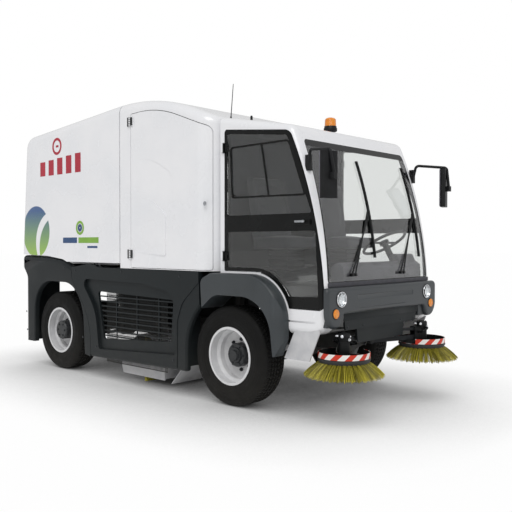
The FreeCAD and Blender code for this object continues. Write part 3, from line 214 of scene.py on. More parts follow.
# Engine, coolers, broom hood, splash plates and lift cylinders
# Cast iron, aluminium fins and folded sheet under machine enamel, light grey outside and black on the
# engine. The enamel is brushed on, so it is uneven, and it dulls where spray reaches it.
machine_grey = finish("light_grey_machine_enamel", "CFCFD1", "BDBEC2", 120, (0.34, 0.5), (5, 0.08),
                      road=("8E8A82", 0.1, 0.9, 0.4), Specular_IOR_Level=0.5)
coat(machine_grey, "broom_housing", "splash_plates", "tip_barrels")

cast_black = finish("black_engine_enamel", "17191A", "212324", 60, (0.45, 0.65), (6, 0.3),
                    Specular_IOR_Level=0.2)
coat(cast_black, "engine_block", "oil_coolers")


# Brush arms and levelling links
# Square steel tube and forged eyes under dark grey powder coat, which is dull and faintly uneven.
# They turn on steel pins in the brackets of the front crossmember.
arm_grey = finish("dark_powder_coat", "1E2022", "2A2C2F", 60, (0.4, 0.62), (2, 0.1),
                  Specular_IOR_Level=0.25)
coat(arm_grey, "brush_arm_right", "brush_arm_left", "brush_link_right", "brush_link_left")


# Tipping cylinders' rods
# Ground steel bars with hard chrome, nearly a mirror, that slide in the barrels.
# Only the chrome is added.
hard_chrome = finish("hard_chrome", "D4D6DA", "C6C8CC", 30, (0.08, 0.16), Metallic=1.0)
coat(hard_chrome, "tip_rods")


# White bodywork
# Pressed steel and moulded panels under white two-coat enamel: a soft colour with a clear, wet gloss. A
# breath of grey collects low on them. The cab's chin is painted black, and painted shade darkens the
# faces inside the cab, most low down. The load box carries a made-up round mark of blue and green film
# with a white sweep.
def enamel(name):
    """White enamel with a clear coat, faintly uneven as sprayed panels are."""
    made, tree, shader, place = begin(name, Coat_Weight=0.6, Coat_Roughness=0.06, Specular_IOR_Level=0.45)
    under = mottle(tree, shader, place, "ECECEE", "E6E7EA", 420, 0.24, 0.3)
    under = dust(tree, shader, place, under, "D2D0CC", 0.6, 1.5, 0.12)
    grain(tree, shader, place, 14, 0.02)
    return made, tree, shader, place, under


def round_share(tree, place, x, z, radius, soft=0.004):
    """1 inside a circle on the truck's side and 0 outside it."""
    apart = add(tree, "VectorMath", {0: place, 1: (x, 0, z)}, operation="SUBTRACT")
    flat = add(tree, "VectorMath", {0: apart.outputs[0], 1: (1, 0, 1)}, operation="MULTIPLY")
    far = add(tree, "VectorMath", {0: flat.outputs[0]}, operation="LENGTH")
    return add(tree, "MapRange", {"Value": far.outputs["Value"], "From Min": radius - soft,
                                  "From Max": radius + soft, "To Min": 1.0, "To Max": 0.0}).outputs[0]


def spans(tree, place):
    """How far forward, how far out to either side, and how high a point lies."""
    axes = add(tree, "SeparateXYZ", {0: place}).outputs
    return axes[0], add(tree, "Math", {0: axes[1]}, operation="ABSOLUTE").outputs[0], axes[2]


def overlap(tree, share, *others):
    """Share where all of these meet."""
    for other in others:
        share = add(tree, "Math", {0: share, 1: other}, operation="MULTIPLY").outputs[0]
    return share


def without(tree, one, other):
    """One share less what the other covers."""
    return overlap(tree, one, add(tree, "Math", {0: 1.0, 1: other}, operation="SUBTRACT").outputs[0])


white_enamel = enamel("white_enamel")[0]
coat(white_enamel, "hopper_door", "engine_housing", "service_door_right", "service_door_left")

chin_front = 2.02
chin_half = 0.70
chin_top = 0.885
cab_middle = (1.5, 0.0, 1.7)
cab_shade_low = 1.3
cab_shade_high = 2.2
cab_enamel, tree, shader, place, under = enamel("white_enamel_with_dark_chin")
forward, wide, height = spans(tree, place)
low = add(tree, "Math", {0: height, 1: chin_top}, operation="LESS_THAN").outputs[0]
front = add(tree, "Math", {0: forward, 1: chin_front}, operation="GREATER_THAN").outputs[0]
inner = add(tree, "Math", {0: wide, 1: chin_half}, operation="LESS_THAN").outputs[0]
under = recolour(tree, shader, under, overlap(tree, low, front, inner), "0E1112")
# Painted shade: faces that look into the cab are darkened, near black low down and dark grey high up.
inward = add(tree, "VectorMath", {0: cab_middle, 1: place}, operation="SUBTRACT").outputs[0]
facing = add(tree, "VectorMath", {0: add(tree, "TexCoord").outputs["Normal"], 1: inward},
             operation="DOT_PRODUCT")
inside = add(tree, "Math", {0: facing.outputs["Value"], 1: 0.0}, operation="GREATER_THAN").outputs[0]
rise = add(tree, "MapRange", {"Value": height, "From Min": cab_shade_low, "From Max": cab_shade_high}).outputs[0]
painted_cab_shade = add(tree, "Mix", {0: rise, 6: linear("17181A"), 7: linear("55565C")}, data_type="RGBA").outputs[2]
recolour(tree, shader, under, inside, painted_cab_shade)
coat(cab_enamel, "cab_shell")

box_side = 0.94
mark_x = -2.107
mark_z = 1.585
mark_radius = 0.305
sweep_radius = 0.36
fade_half = 0.25
marked_enamel, tree, shader, place, under = enamel("white_enamel_with_marks")
forward, wide, height = spans(tree, place)
flank = add(tree, "Math", {0: wide, 1: box_side}, operation="GREATER_THAN").outputs[0]
disc = round_share(tree, place, mark_x, mark_z, mark_radius)
sweep = round_share(tree, place, mark_x + 0.36, mark_z - 0.13, sweep_radius)
inner = round_share(tree, place, mark_x + 0.44, mark_z - 0.19, sweep_radius)
share = overlap(tree, without(tree, disc, without(tree, sweep, inner)), flank)
rise = add(tree, "MapRange", {"Value": height, "From Min": mark_z - fade_half,
                              "From Max": mark_z + fade_half})
film = add(tree, "Mix", {0: rise.outputs[0], 6: linear("8DB63C"), 7: linear("1E4F86")}, data_type="RGBA")
recolour(tree, shader, under, share, film.outputs[2])
coat(marked_enamel, "hopper")


# Marks on the load box
# Thin cut film, stuck on: a red ring over five leaning bars, and a green ring with a blue core over three
# short bars. The rings are turned and the bars are thin slabs that lean, and both flanks get them.
film_out = 0.0012
film_gap = 0.0002
flank_y = 0.98
sides = (("right", -1), ("left", 1))


def clear():
    """Leaves edit mode and selects nothing."""
    if bpy.context.object and bpy.context.object.mode != "OBJECT":
        bpy.ops.object.mode_set(mode="OBJECT")
    bpy.ops.object.select_all(action="DESELECT")


def hold(piece):
    """Selects this piece alone and makes it the active one."""
    clear()
    piece.select_set(True)
    bpy.context.view_layer.objects.active = piece


def open_all():
    """Opens edit mode on the active piece with all of it selected."""
    bpy.ops.object.mode_set(mode="EDIT")
    bpy.ops.mesh.select_all(action="SELECT")


def face_out():
    """Turns all faces of the open piece outwards."""
    bpy.ops.mesh.select_all(action="SELECT")
    bpy.ops.mesh.normals_make_consistent(inside=False)


def choose(piece, test):
    """Opens edit mode with the faces selected whose middle and normal pass the test."""
    hold(piece)
    for part in (piece.data.vertices, piece.data.edges):
        part.foreach_set("select", [False] * len(part))
    for face in piece.data.polygons:
        face.select = bool(test(face.center, face.normal))
    bpy.context.tool_settings.mesh_select_mode = (False, False, True)
    bpy.ops.object.mode_set(mode="EDIT")


def join(name, pieces):
    """Joins the pieces into one and names it."""
    hold(pieces[0])
    for piece in pieces[1:]:
        piece.select_set(True)
    if len(pieces) > 1:
        bpy.ops.object.join()
    pieces[0].name = name
    return pieces[0]


def fit(piece, body, slot, made, *replaced):
    """Gives a new piece its material and its body, and hides the nodes it stands for. The slot is not used.
    """
    if made:
        piece.data.materials.clear()
        piece.data.materials.append(made)
    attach(piece, body)
    if replaced:
        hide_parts(*replaced)
    return piece


def slab(name, low, high, soft=0.0, segments=2):
    """Box between two corners, its edges rounded by soft."""
    clear()
    low, high = Vector(low), Vector(high)
    bpy.ops.mesh.primitive_cube_add(size=1, location=(low + high) / 2, scale=high - low)
    piece = bpy.context.object
    piece.name = name
    bpy.ops.object.transform_apply()
    if soft:
        open_all()
        bpy.ops.mesh.bevel(offset=soft, segments=segments, affect="EDGES")
        bpy.ops.object.mode_set(mode="OBJECT")
        bpy.ops.object.shade_smooth_by_angle(angle=math.radians(40))
    return piece


def lathe(name, centre, axis, steps, count=48, hollow=False, start=0.0):
    """Turned piece: a circle is extruded along axis and scaled through the steps (radius, along)."""
    clear()
    centre, axis = Vector(centre), Vector(axis).normalized()
    radius, along = steps[0]
    turn = axis.to_track_quat("Z", "Y") @ Matrix.Rotation(start, 3, "Z").to_quaternion()
    cap = "NOTHING" if hollow else "NGON"
    bpy.ops.mesh.primitive_circle_add(vertices=count, radius=radius, fill_type=cap,
                                      location=centre + axis * along, rotation=turn.to_euler())
    piece = bpy.context.object
    piece.name = name
    bpy.ops.object.transform_apply()
    bpy.context.tool_settings.mesh_select_mode = (True, False, False)
    open_all()
    for wide, far in steps[1:]:
        bpy.ops.mesh.extrude_region_move(TRANSFORM_OT_translate={"value": axis * (far - along)})
        bpy.ops.transform.resize(value=[wide / radius] * 3, center_override=centre + axis * far)
        radius, along = wide, far
    if hollow:
        bpy.ops.mesh.select_mode(type="EDGE")
        bpy.ops.mesh.select_all(action="DESELECT")
        bpy.ops.mesh.select_non_manifold()
        bpy.ops.mesh.bridge_edge_loops()
    face_out()
    bpy.ops.object.mode_set(mode="OBJECT")
    bpy.ops.object.shade_smooth_by_angle(angle=math.radians(32))
    return piece


def copied(piece, move):
    """Copy of a piece with its own mesh, moved by a matrix."""
    other = piece.copy()
    other.data = piece.data.copy()
    bpy.context.scene.collection.objects.link(other)
    other.data.transform(move)
    return other


def twin(piece):
    """Left-hand copy of a right-hand piece."""
    other = copied(piece, Matrix.Scale(-1, 4, (0, 1, 0)))
    other.name = piece.name.replace("right", "left")
    other.data.flip_normals()
    return other


def fit_pair(piece, body, slot, made):
    """Fits a right-hand piece, and its twin to the body's left-hand namesake."""
    fit(twin(piece), body.replace("right", "left"), slot, made)
    fit(piece, body, slot, made)


def film_ring(name, x, z, radius, width):
    """Flat ring of film on the right flank."""
    steps = [(radius, 0), (radius, film_out), (radius - width, film_out), (radius - width, 0)]
    return lathe(name, (x, -flank_y - film_gap, z), (0, -1, 0), steps, hollow=True)


def film_bar(name, x0, x1, z0, z1, lean=0.0):
    """Flat bar of film on the right flank; its top edge is moved forward by lean."""
    piece = slab(name, (x0, -flank_y - film_out, z0), (x1, -flank_y - film_gap, z1))
    hold(piece)
    for corner in piece.data.vertices:
        corner.select = corner.co.z > (z0 + z1) / 2
    bpy.context.tool_settings.mesh_select_mode = (True, False, False)
    bpy.ops.object.mode_set(mode="EDIT")
    bpy.ops.transform.translate(value=(lean, 0, 0))
    bpy.ops.object.mode_set(mode="OBJECT")
    return piece


def cut_film(name, colour, shade):
    """Cast vinyl film: even and strong in colour, a little less glossy than the enamel under it."""
    return finish(name, colour, shade, 200, (0.26, 0.34), Specular_IOR_Level=0.5)


word_rear = -2.05
word_step = 0.185
word_bar = 0.112
red_pieces = [film_ring("ring", -1.633, 2.56, 0.098, 0.03),
              film_bar("stem", -1.66, -1.606, 2.548, 2.572, 0.006)]
for count in range(5):
    rear = word_rear + count * word_step
    red_pieces.append(film_bar("bar", rear, rear + word_bar, 2.235, 2.40 + 0.012 * count, 0.05))
leaf_x = -1.168
leaf_z = 1.618
line_low = 1.45
line_top = 1.512
line_lean = 0.018
green_pieces = [film_ring("leaf", leaf_x, leaf_z, 0.078, 0.028),
                film_bar("line", -1.215, -0.83, line_low, line_top, line_lean)]
blue_pieces = [film_ring("core", leaf_x, leaf_z, 0.042, 0.034),
               film_bar("line", -1.53, -1.245, line_low, line_top, line_lean),
               film_bar("line", -1.03, -0.84, 1.395, 1.418, 0.006)]
for name, pieces, made in (("red", red_pieces, cut_film("red_film", "B01630", "A3122B")),
                           ("green", green_pieces, cut_film("leaf_green_film", "7FAE3B", "76A433")),
                           ("blue", blue_pieces, cut_film("deep_blue_film", "1B4676", "17406C"))):
    fit_pair(join(name + "_mark_right", pieces), "hopper", "white", made)


# Skirts and fenders
# Thick polyethylene and ABS mouldings, coloured dark grey right through, with a fine moulded grain and a
# low sheen. They are carried over from the frame. Screws hold them, and road film shows near the ground.
moulded_grey = finish("moulded_dark_grey", "171C1E", "1C2123", 300, (0.4, 0.52), (2.5, 0.12),
                      road=("5E5C58", 0.2, 0.8, 0.2), Specular_IOR_Level=0.22)
coat(moulded_grey, "side_panels", "rear_fenders", "bumper_apron")

fender_grey = finish("moulded_mid_grey", "303538", "373C3F", 300, (0.38, 0.5), (2.5, 0.12),
                     Specular_IOR_Level=0.5)
coat(fender_grey, "front_fenders")


# Bumper
# One thick ABS moulding with round edges and a lamp pod at each end, bolted to the cab by a return on each
# side. Its outline is rounded and pulled out, its edge is turned over in insets, and a bar, a line and the
# lamps' holes are cut into it. A shelf of the same plastic closes the apron's top.
bumper_back = 2.128
bumper_wall = 0.009
bumper_corner = 0.04
bumper_round = 0.030
round_steps = 6
bumper_outline = [(0.872, 1.085), (0.872, 0.842), (0.806, 0.752), (0.695, 0.752), (0.652, 0.862)]
pressed_bar = ((2.163, -0.455, 0.969), (2.2, 0.443, 1.021))
pressed_line = ((2.164, -0.455, 0.903), (2.2, 0.30, 0.909))
headlamp = (0.685, 0.988, 0.0655)
indicator = (0.760, 0.875, 0.0455)

clear()
outline = bumper_outline + [(-y, z) for y, z in reversed(bumper_outline)]
bpy.ops.mesh.primitive_circle_add(vertices=len(outline), fill_type="NGON")
bumper = bpy.context.object
for corner, (y, z) in zip(bumper.data.vertices, outline):
    corner.co = (bumper_back, y, z)
open_all()
bpy.ops.mesh.bevel(offset=bumper_corner, segments=6, affect="VERTICES")
bpy.ops.mesh.extrude_region_move(TRANSFORM_OT_translate={"value": (bumper_wall, 0, 0)})
face_out()
choose(bumper, lambda middle, normal: normal.x > 0.99)
for step in range(round_steps):
    one, other = math.pi / 2 * step / round_steps, math.pi / 2 * (step + 1) / round_steps
    bpy.ops.mesh.inset(thickness=bumper_round * (math.cos(one) - math.cos(other)),
                       depth=bumper_round * (math.sin(other) - math.sin(one)))
cutters = [slab("bar", *pressed_bar, 0.012, 4), slab("line", *pressed_line, 0.0015, 2)]
for side, sign in sides:
    for y, z, radius in (headlamp, indicator):
        cutters.append(lathe("bore", (bumper_back - 0.1, sign * y, z), (1, 0, 0),
                             [(radius, 0), (radius, 0.2)], 48))
for cutter in cutters:
    bumper.modifiers.new("bore", "BOOLEAN").object = cutter
    hold(bumper)
    bpy.ops.object.modifier_apply(modifier="bore")
    bpy.data.objects.remove(cutter)
bpy.ops.object.shade_smooth_by_angle(angle=math.radians(32))
returns = [slab("return", (2.087, near, 0.76), (bumper_back, away, 1.08), 0.008)
           for near, away in ((-0.828, -0.60), (0.60, 0.828))]
bumper_grey = finish("satin_bumper_grey", "34383B", "3A3E41", 300, (0.34, 0.46), (2.5, 0.1),
                     Specular_IOR_Level=0.5)
fit(join("bumper_moulding", [bumper] + returns), "chassis", "dark_panel", bumper_grey, "front_bumper")
shelf = slab("apron_top", (2.112, -0.588, 0.80), (2.1235, 0.588, 0.885), 0.003)
fit(shelf, "chassis", "under_grey", moulded_grey)


# Guard mesh
# Black painted wire mesh behind the slats of both side panels. A grid is turned to a wire frame, its cells
# drawn 24 mm wide, coarser than real ones, so that they show.
mesh_low = (-0.90, 0.40)
mesh_high = (0.41, 0.97)
mesh_y = 0.919
mesh_wire = 0.008
for side, sign in sides:
    clear()
    middle = ((mesh_low[0] + mesh_high[0]) / 2, sign * mesh_y, (mesh_low[1] + mesh_high[1]) / 2)
    bpy.ops.mesh.primitive_grid_add(x_subdivisions=54, y_subdivisions=24, size=1, location=middle,
                                    rotation=(math.pi / 2, 0, 0),
                                    scale=(mesh_high[0] - mesh_low[0], mesh_high[1] - mesh_low[1], 1))
    sheet = bpy.context.object
    sheet.name = "grille_mesh_" + side
    bpy.ops.object.transform_apply()
    open_all()
    bpy.ops.mesh.wireframe(thickness=mesh_wire, use_even_offset=True, use_replace=True)
    bpy.ops.object.mode_set(mode="OBJECT")
    fit(sheet, "chassis", "dark_panel", chassis_black)


# Panel screws
# Zinc plated pan-head screws with a washer face and a hexagon socket, that hold the skirts and the apron.
# Each is turned in steps, and a thin hexagon on its head stands for the socket.
screw_steel = finish("zinc_plated_steel", "4A4C4F", "38393B", 8, (0.35, 0.5), Metallic=1.0)
skirt_y = 0.985
skirt_screws = [(-2.31, 1.245), (-1.48, 1.17), (-1.262, 1.145), (-0.405, 1.155), (0.51, 1.135),
                (-1.11, 0.415), (-0.86, 0.335), (-2.325, 0.62), (-2.31, 0.4), (0.42, 0.33)]


def pan_head(name, place, axis, radius=0.009, height=0.004):
    """Pan-head screw with a washer face, and a thin hexagon on its head in place of the socket."""
    head = lathe(name, place, axis, [(radius * 1.3, 0), (radius * 1.3, 0.001), (radius, 0.001),
                                     (radius * 0.93, height * 0.75), (radius * 0.7, height)], 16)
    socket = lathe("socket", place, axis, [(radius * 0.42, height), (radius * 0.42, height + 0.0002),
                                           (radius * 0.36, height + 0.0002)], 6)
    return join(name, [head, socket])


screws = [pan_head("screw", (x, -skirt_y, z), (0, -1, 0)) for x, z in skirt_screws]
fit_pair(join("skirt_screws_right", screws), "chassis", "dark_panel", screw_steel)

apron_x = 2.119
apron_screws = [(y, z) for y in (-0.53, -0.3, 0.3, 0.53) for z in (0.862, 0.745)]
screws = [pan_head("screw", (apron_x, y, z), (1, 0, 0), 0.008) for y, z in apron_screws]
fit(join("apron_screws", screws), "chassis", "under_grey", screw_steel)


# Tyres
# Wide radial truck tyres, black rubber moulded in a steel mould: four grooves round the tread, notched
# ribs and shoulders, stepped walls and a raised rib round the bead. A ring is pushed out step by step, and
# the notches are pressed in.
front_axle_x = 1.137
rear_axle_x = -1.637
axle_z = 0.445
tyre_middle_y = 0.8185
tread_radius = 0.445
tread_half = 0.0935
groove_width = 0.010
groove_depth = 0.010
groove_places = (-0.056, -0.019, 0.019, 0.056)
notch_count = 72
notch_depth = 0.0035
facet_count = notch_count * 3
wheels = [("_" + axle + "_" + side, x, sign)
          for side, sign in sides for axle, x in (("front", front_axle_x), ("rear", rear_axle_x))]


def tyre_steps():
    """Radius and offset of each ring, from the inner bead over the tread to the outer bead."""
    wall = [(0.250, 0.1155), (0.262, 0.1165), (0.264, 0.1305), (0.272, 0.1335), (0.280, 0.1335),
            (0.283, 0.1355), (0.300, 0.1385), (0.318, 0.1398), (0.320, 0.1412), (0.334, 0.1415),
            (0.352, 0.1413), (0.354, 0.1398), (0.372, 0.1392), (0.387, 0.1370), (0.389, 0.1392),
            (0.403, 0.1360), (0.420, 0.1275), (0.431, 0.1195), (0.4405, 0.1060), (0.4435, 0.0985)]
    steps = [(radius, -along) for radius, along in wall]
    steps.append((tread_radius, -tread_half))
    for middle in groove_places:
        steps.append((tread_radius, middle - groove_width / 2))
        steps.append((tread_radius - groove_depth, middle - groove_width / 2 + 0.0018))
        steps.append((tread_radius - groove_depth, middle + groove_width / 2 - 0.0018))
        steps.append((tread_radius, middle + groove_width / 2))
    steps.append((tread_radius, tread_half))
    return steps + list(reversed(wall))


def tread_notch(middle, normal):
    """True on every third facet of the shoulders and, one facet on, of the ribs between the grooves."""
    out = math.hypot(middle.x, middle.z)
    facet = int(math.floor((math.atan2(middle.z, middle.x) / (2 * math.pi) + 1) * facet_count + 0.01))
    turned_by = 1 if abs(middle.y) < 0.068 else 0
    shoulder = 0.066 < abs(middle.y) < 0.1005 and out > 0.436
    rib = abs(middle.y) < 0.05 and out > 0.444
    return (shoulder or rib) and (facet + turned_by) % 3 == 0


rubber = finish("moulded_black_rubber", "0E0E0E", "141413", 70, (0.58, 0.76), (2.5, 0.15),
                road=("5C5851", 0.0, 0.6, 0.22), Specular_IOR_Level=0.15)
tyre = lathe("tyre", (0, 0, 0), (0, 1, 0), tyre_steps(), facet_count, hollow=True,
             start=math.pi / facet_count)
choose(tyre, tread_notch)
bpy.ops.mesh.extrude_region_shrink_fatten(TRANSFORM_OT_shrink_fatten={"value": -notch_depth})
clear()
for name, x, sign in wheels:
    copy = copied(tyre, Matrix.Translation((x, sign * tyre_middle_y, axle_z)))
    copy.name = "road_tyre" + name
    fit(copy, "wheel" + name, "tyre", rubber, "tyre" + name)
bpy.data.objects.remove(tyre)


# Wheels and hubs
# Pressed steel wheels in light grey enamel, bolted through eight holes round a hub of black cast iron.
# The hub keeps its own cap screws, and the dish around them is darkened by brake dust and by painted shade.
hub_reach = 0.108
dust_and_shade_reach = 0.19
dust_and_shade_fade = 0.06
dust_and_shade_most = 0.45


def wheel_enamel(name, x):
    """Light grey enamel outside the hub, black on the hub, and brake dust and painted shade between them.
    """
    made, tree, shader, place = begin(name, Specular_IOR_Level=0.5)
    under = mottle(tree, shader, place, "D6D6D7", "CBCBCD", 60, 0.36, 0.48)
    # Brake dust and painted shade: the dish round the hub is darkened in clouds.
    dish = round_share(tree, place, x, axle_z, dust_and_shade_reach, dust_and_shade_fade)
    cloud = add(tree, "TexNoise", {"Vector": place, "Scale": 1000 / 35, "Detail": 5.0})
    dish_dust_and_shade = overlap(tree, dish, cloud.outputs["Fac"], dust_and_shade_most)
    under = recolour(tree, shader, under, dish_dust_and_shade, "7C7872")
    recolour(tree, shader, under, round_share(tree, place, x, axle_z, hub_reach, 0.0005), "222426")
    grain(tree, shader, place, 4, 0.08)
    return made


def bolt_circle(name, centre, axis, radius, count, steps, start=0.0):
    """Six-sided heads set evenly on a circle round an axis, from X on."""
    heads = []
    for number in range(count):
        turn = start + 2 * math.pi * number / count
        along, over = radius * math.cos(turn), radius * math.sin(turn)
        spot = Vector(centre) + Vector((along, over, 0) if axis[2] else (along, 0, over))
        heads.append(lathe(name, spot, axis, steps, 6))
    return heads


coat(wheel_enamel("front_wheel_enamel", front_axle_x), "rim_front_right", "rim_front_left")
coat(wheel_enamel("rear_wheel_enamel", rear_axle_x), "rim_rear_right", "rim_rear_left")

nut_ring = 0.1375
nut_y = 0.788
nut_steps = [(0.019, -0.001), (0.019, 0.003), (0.014, 0.003), (0.0145, 0.015), (0.012, 0.018),
             (0.008, 0.018), (0.008, 0.024)]
hub_face = {front_axle_x: 0.8625, rear_axle_x: 0.935}
hub_ring = {front_axle_x: 0.084, rear_axle_x: 0.07}
bolt_steps = [(0.0125, -0.001), (0.0125, 0.001), (0.0095, 0.001), (0.0095, 0.0065), (0.0085, 0.0075)]
for name, x, sign in wheels:
    nuts = bolt_circle("nut", (x, sign * nut_y, axle_z), (0, sign, 0), nut_ring, 8, nut_steps)
    fit(join("wheel_nuts" + name, nuts), "wheel" + name, "rim_grey", screw_steel)
for name, x, sign in wheels:
    bolts = bolt_circle("bolt", (x, sign * hub_face[x], axle_z), (0, sign, 0), hub_ring[x], 6, bolt_steps)
    fit(join("hub_bolts" + name, bolts), "wheel" + name, "rim_grey", screw_steel)


# Cab glass
# Clear toughened side glass, and a laminated windscreen that is nearly colourless.
# A black enamel border is fired on round the windscreen, where the glue holds it.
def clear_glass(name, colour, rough):
    """Glass that lets light through in its own colour."""
    made, tree, shader, place = begin(name, Transmission_Weight=1.0, IOR=1.5, Roughness=rough)
    shader.inputs["Base Color"].default_value = linear(colour)
    return made, tree, shader, place


side_glass = clear_glass("clear_toughened_glass", "E4E6E4", 0.0)[0]
coat(side_glass, "cab_glass_right", "cab_glass_left")

border_top = 2.262
border_low = 1.128
border_side = 0.766
screen_glass, tree, shader, place = clear_glass("clear_laminated_glass", "FDFEFE", 0.0)
forward, wide, height = spans(tree, place)
edge = add(tree, "Math", {0: wide, 1: border_side}, operation="GREATER_THAN").outputs[0]
above = add(tree, "Math", {0: height, 1: border_top}, operation="GREATER_THAN").outputs[0]
below = add(tree, "Math", {0: height, 1: border_low}, operation="LESS_THAN").outputs[0]
fired = add(tree, "Math", {0: edge, 1: above}, operation="MAXIMUM").outputs[0]
fired = add(tree, "Math", {0: fired, 1: below}, operation="MAXIMUM").outputs[0]
border = add(tree, "BsdfPrincipled", {"Base Color": linear("101112"), "Roughness": 0.12})
panes = add(tree, "MixShader", {0: fired, 1: shader.outputs[0], 2: border.outputs[0]})
tree.links.new(panes.outputs[0], tree.nodes["Material Output"].inputs["Surface"])
coat(screen_glass, "windscreen")


# Cowl under the windscreen
# Extruded dark grey rubber that fills the step between the glass and the bumper's top.
# It is one straight strip with rounded edges, clipped over the flange of the bumper.
cowl_rubber = finish("extruded_cowl_rubber", "4A4A4F", "434348", 40, (0.55, 0.7), (2, 0.08),
                     Specular_IOR_Level=0.2)
cowl_low = (2.095, -0.792, 1.0855)
cowl_high = (2.126, 0.792, 1.123)
fit(slab("screen_cowl", cowl_low, cowl_high, 0.006, 3), "chassis", "black", cowl_rubber)


# Cab doors
# Welded tube frames with a gloss black skin, and a wide black belt rail that carries a lever of bare alloy.
# The right door's sliding window has a rounded black frame, one mullion and a catch, turned inwards with
# the glass. A pin with a domed head at each end holds each hinge.
door_black = finish("gloss_black_enamel", "070808", "0B0C0C", 200, (0.2, 0.32), Specular_IOR_Level=0.2,
                    Coat_Weight=0.08, Coat_Roughness=0.08)
coat(door_black, "cab_door_right", "cab_door_left")

cast_alloy = finish("tumbled_alloy", "B4B7BB", "A2A5A9", 20, (0.28, 0.4), Metallic=1.0)
door_y = 0.879
lever = slab("lever", (1.855, -door_y - 0.032, 1.615), (1.955, -door_y - 0.022, 1.633), 0.004)
keyhole = lathe("keyhole", (1.945, -door_y - 0.031, 1.624), (0, -1, 0),
                [(0.011, 0), (0.011, 0.003), (0.009, 0.004)], 24)
fit_pair(join("door_lever_right", [lever, keyhole]), "cab_door_right", "black", cast_alloy)

window_corners = [(1.102, 1.844), (1.934, 1.838), (1.755, 2.313), (1.083, 2.304)]
window_corner = 0.035
mullion_low = (1.534, 1.838)
mullion_high = (1.448, 2.308)
frame_wide = 0.016
frame_deep = 0.006
glass_rear = (1.051, 0.879)
glass_turn = math.atan(0.0327)
clear()
bpy.ops.mesh.primitive_circle_add(vertices=4, fill_type="NGON")
slider = bpy.context.object
for corner, (x, z) in zip(slider.data.vertices, window_corners):
    corner.co = (x - glass_rear[0], 0, z)
open_all()
bpy.ops.mesh.bevel(offset=window_corner, segments=5, affect="VERTICES")
bpy.ops.mesh.inset(thickness=frame_wide)
bpy.ops.mesh.delete(type="FACE")
bpy.ops.mesh.select_all(action="SELECT")
bpy.ops.mesh.extrude_region_move(TRANSFORM_OT_translate={"value": (0, -frame_deep, 0)})
face_out()
clear()
run = Vector((mullion_high[0] - mullion_low[0], 0, mullion_high[1] - mullion_low[1]))
corner = (frame_wide / 2, 0, run.length - 0.012)
mullion = slab("mullion", (-frame_wide / 2, -frame_deep * 0.8, 0), corner, 0.0015)
mullion.data.transform(Matrix.Translation((mullion_low[0] - glass_rear[0], 0, mullion_low[1] + 0.008))
                       @ Matrix.Rotation(math.atan2(run.x, run.z), 4, "Y"))
catch = slab("catch", (0.06, -frame_deep - 0.01, 1.865), (0.085, -frame_deep, 1.885), 0.003)
slider = join("window_slider_right", [slider, mullion, catch])
slider.data.transform(Matrix.Translation((glass_rear[0], -glass_rear[1] - 0.0005, 0))
                      @ Matrix.Rotation(glass_turn, 4, "Z"))
fit(slider, "cab_door_right", "black", door_black)

door_hinge_x = 1.019
door_hinge_y = 0.899
pin_steps = [(0.0112, -0.001), (0.0112, 0.003), (0.0085, 0.006)]
for side, sign in sides:
    caps = []
    for z, way in ((1.33, -1), (1.33, 1), (2.30, -1), (2.30, 1)):
        spot = (door_hinge_x, sign * door_hinge_y, z + way * 0.04)
        caps.append(lathe("pin_head", spot, (0, 0, way), pin_steps, 24))
    fit(join("cab_hinge_pins_" + side, caps), "cab_door_" + side, "black", screw_steel)


# Service doors
# One pressed panel each side, hung on two black cast hinges and held by a flush lock of bare alloy.
# Each hinge has five turned ribs round its pin, with one leaf on the door and one on the housing.
hinge_x = -0.243
hinge_y = 0.9923
hinge_places = (1.338, 2.676)
rib_low = -0.0395
rib_step = 0.018
lock_x = 0.858
lock_z = 1.807
panel_y = 0.98
rib_steps = [(0.0119, 0), (0.0122, 0.001), (0.0122, 0.006), (0.0119, 0.007)]
lock_steps = [(0.021, -0.0012), (0.021, 0.002), (0.018, 0.004), (0.0105, 0.004), (0.0105, 0.0015),
              (0.004, 0.0015)]
hinge_black = finish("cast_hinge_black", "17181A", "202224", 25, (0.4, 0.55), (2, 0.1),
                     Specular_IOR_Level=0.45)
for side, sign in sides:
    ribs, leaves = [], []
    for z in hinge_places:
        for step in range(5):
            spot = (hinge_x, sign * hinge_y, z + rib_low + step * rib_step)
            ribs.append(lathe("rib", spot, (0, 0, 1), rib_steps, 24))
        for parts, rear, front, under, over, half, soft in (
                (ribs, 0.008, 0.044, 0.0105, 0.0165, 0.041, 0.003),
                (leaves, -0.046, -0.0135, 0.001, 0.011, 0.0455, 0.002)):
            near, away = sorted((sign * (panel_y + under), sign * (panel_y + over)))
            corner = (hinge_x + front, away, z + half)
            parts.append(slab("leaf", (hinge_x + rear, near, z - half), corner, soft))
    fit(join("service_hinge_ribs_" + side, ribs), "service_door_" + side, "white", hinge_black)
    fit(join("service_hinge_leaves_" + side, leaves), "chassis", "white", hinge_black)
    lock = lathe("service_lock_" + side, (lock_x, sign * panel_y, lock_z), (0, sign, 0), lock_steps, 32)
    fit(lock, "service_door_" + side, "white", cast_alloy)


# Lamps in the bumper
# Round headlamps: a rubber seal and a chromed ring over a bright bowl and bulb, behind a fluted clear lens.
# Under each, an amber indicator has rings moulded in its lens. All are turned, and pressed into the
# bumper's holes.
lamp_face = 2.167
flute_pitch = 56.55


def waves(pitch):
    """Scale of a wave pattern that repeats every so many millimetres."""
    return 100 * math.pi / pitch


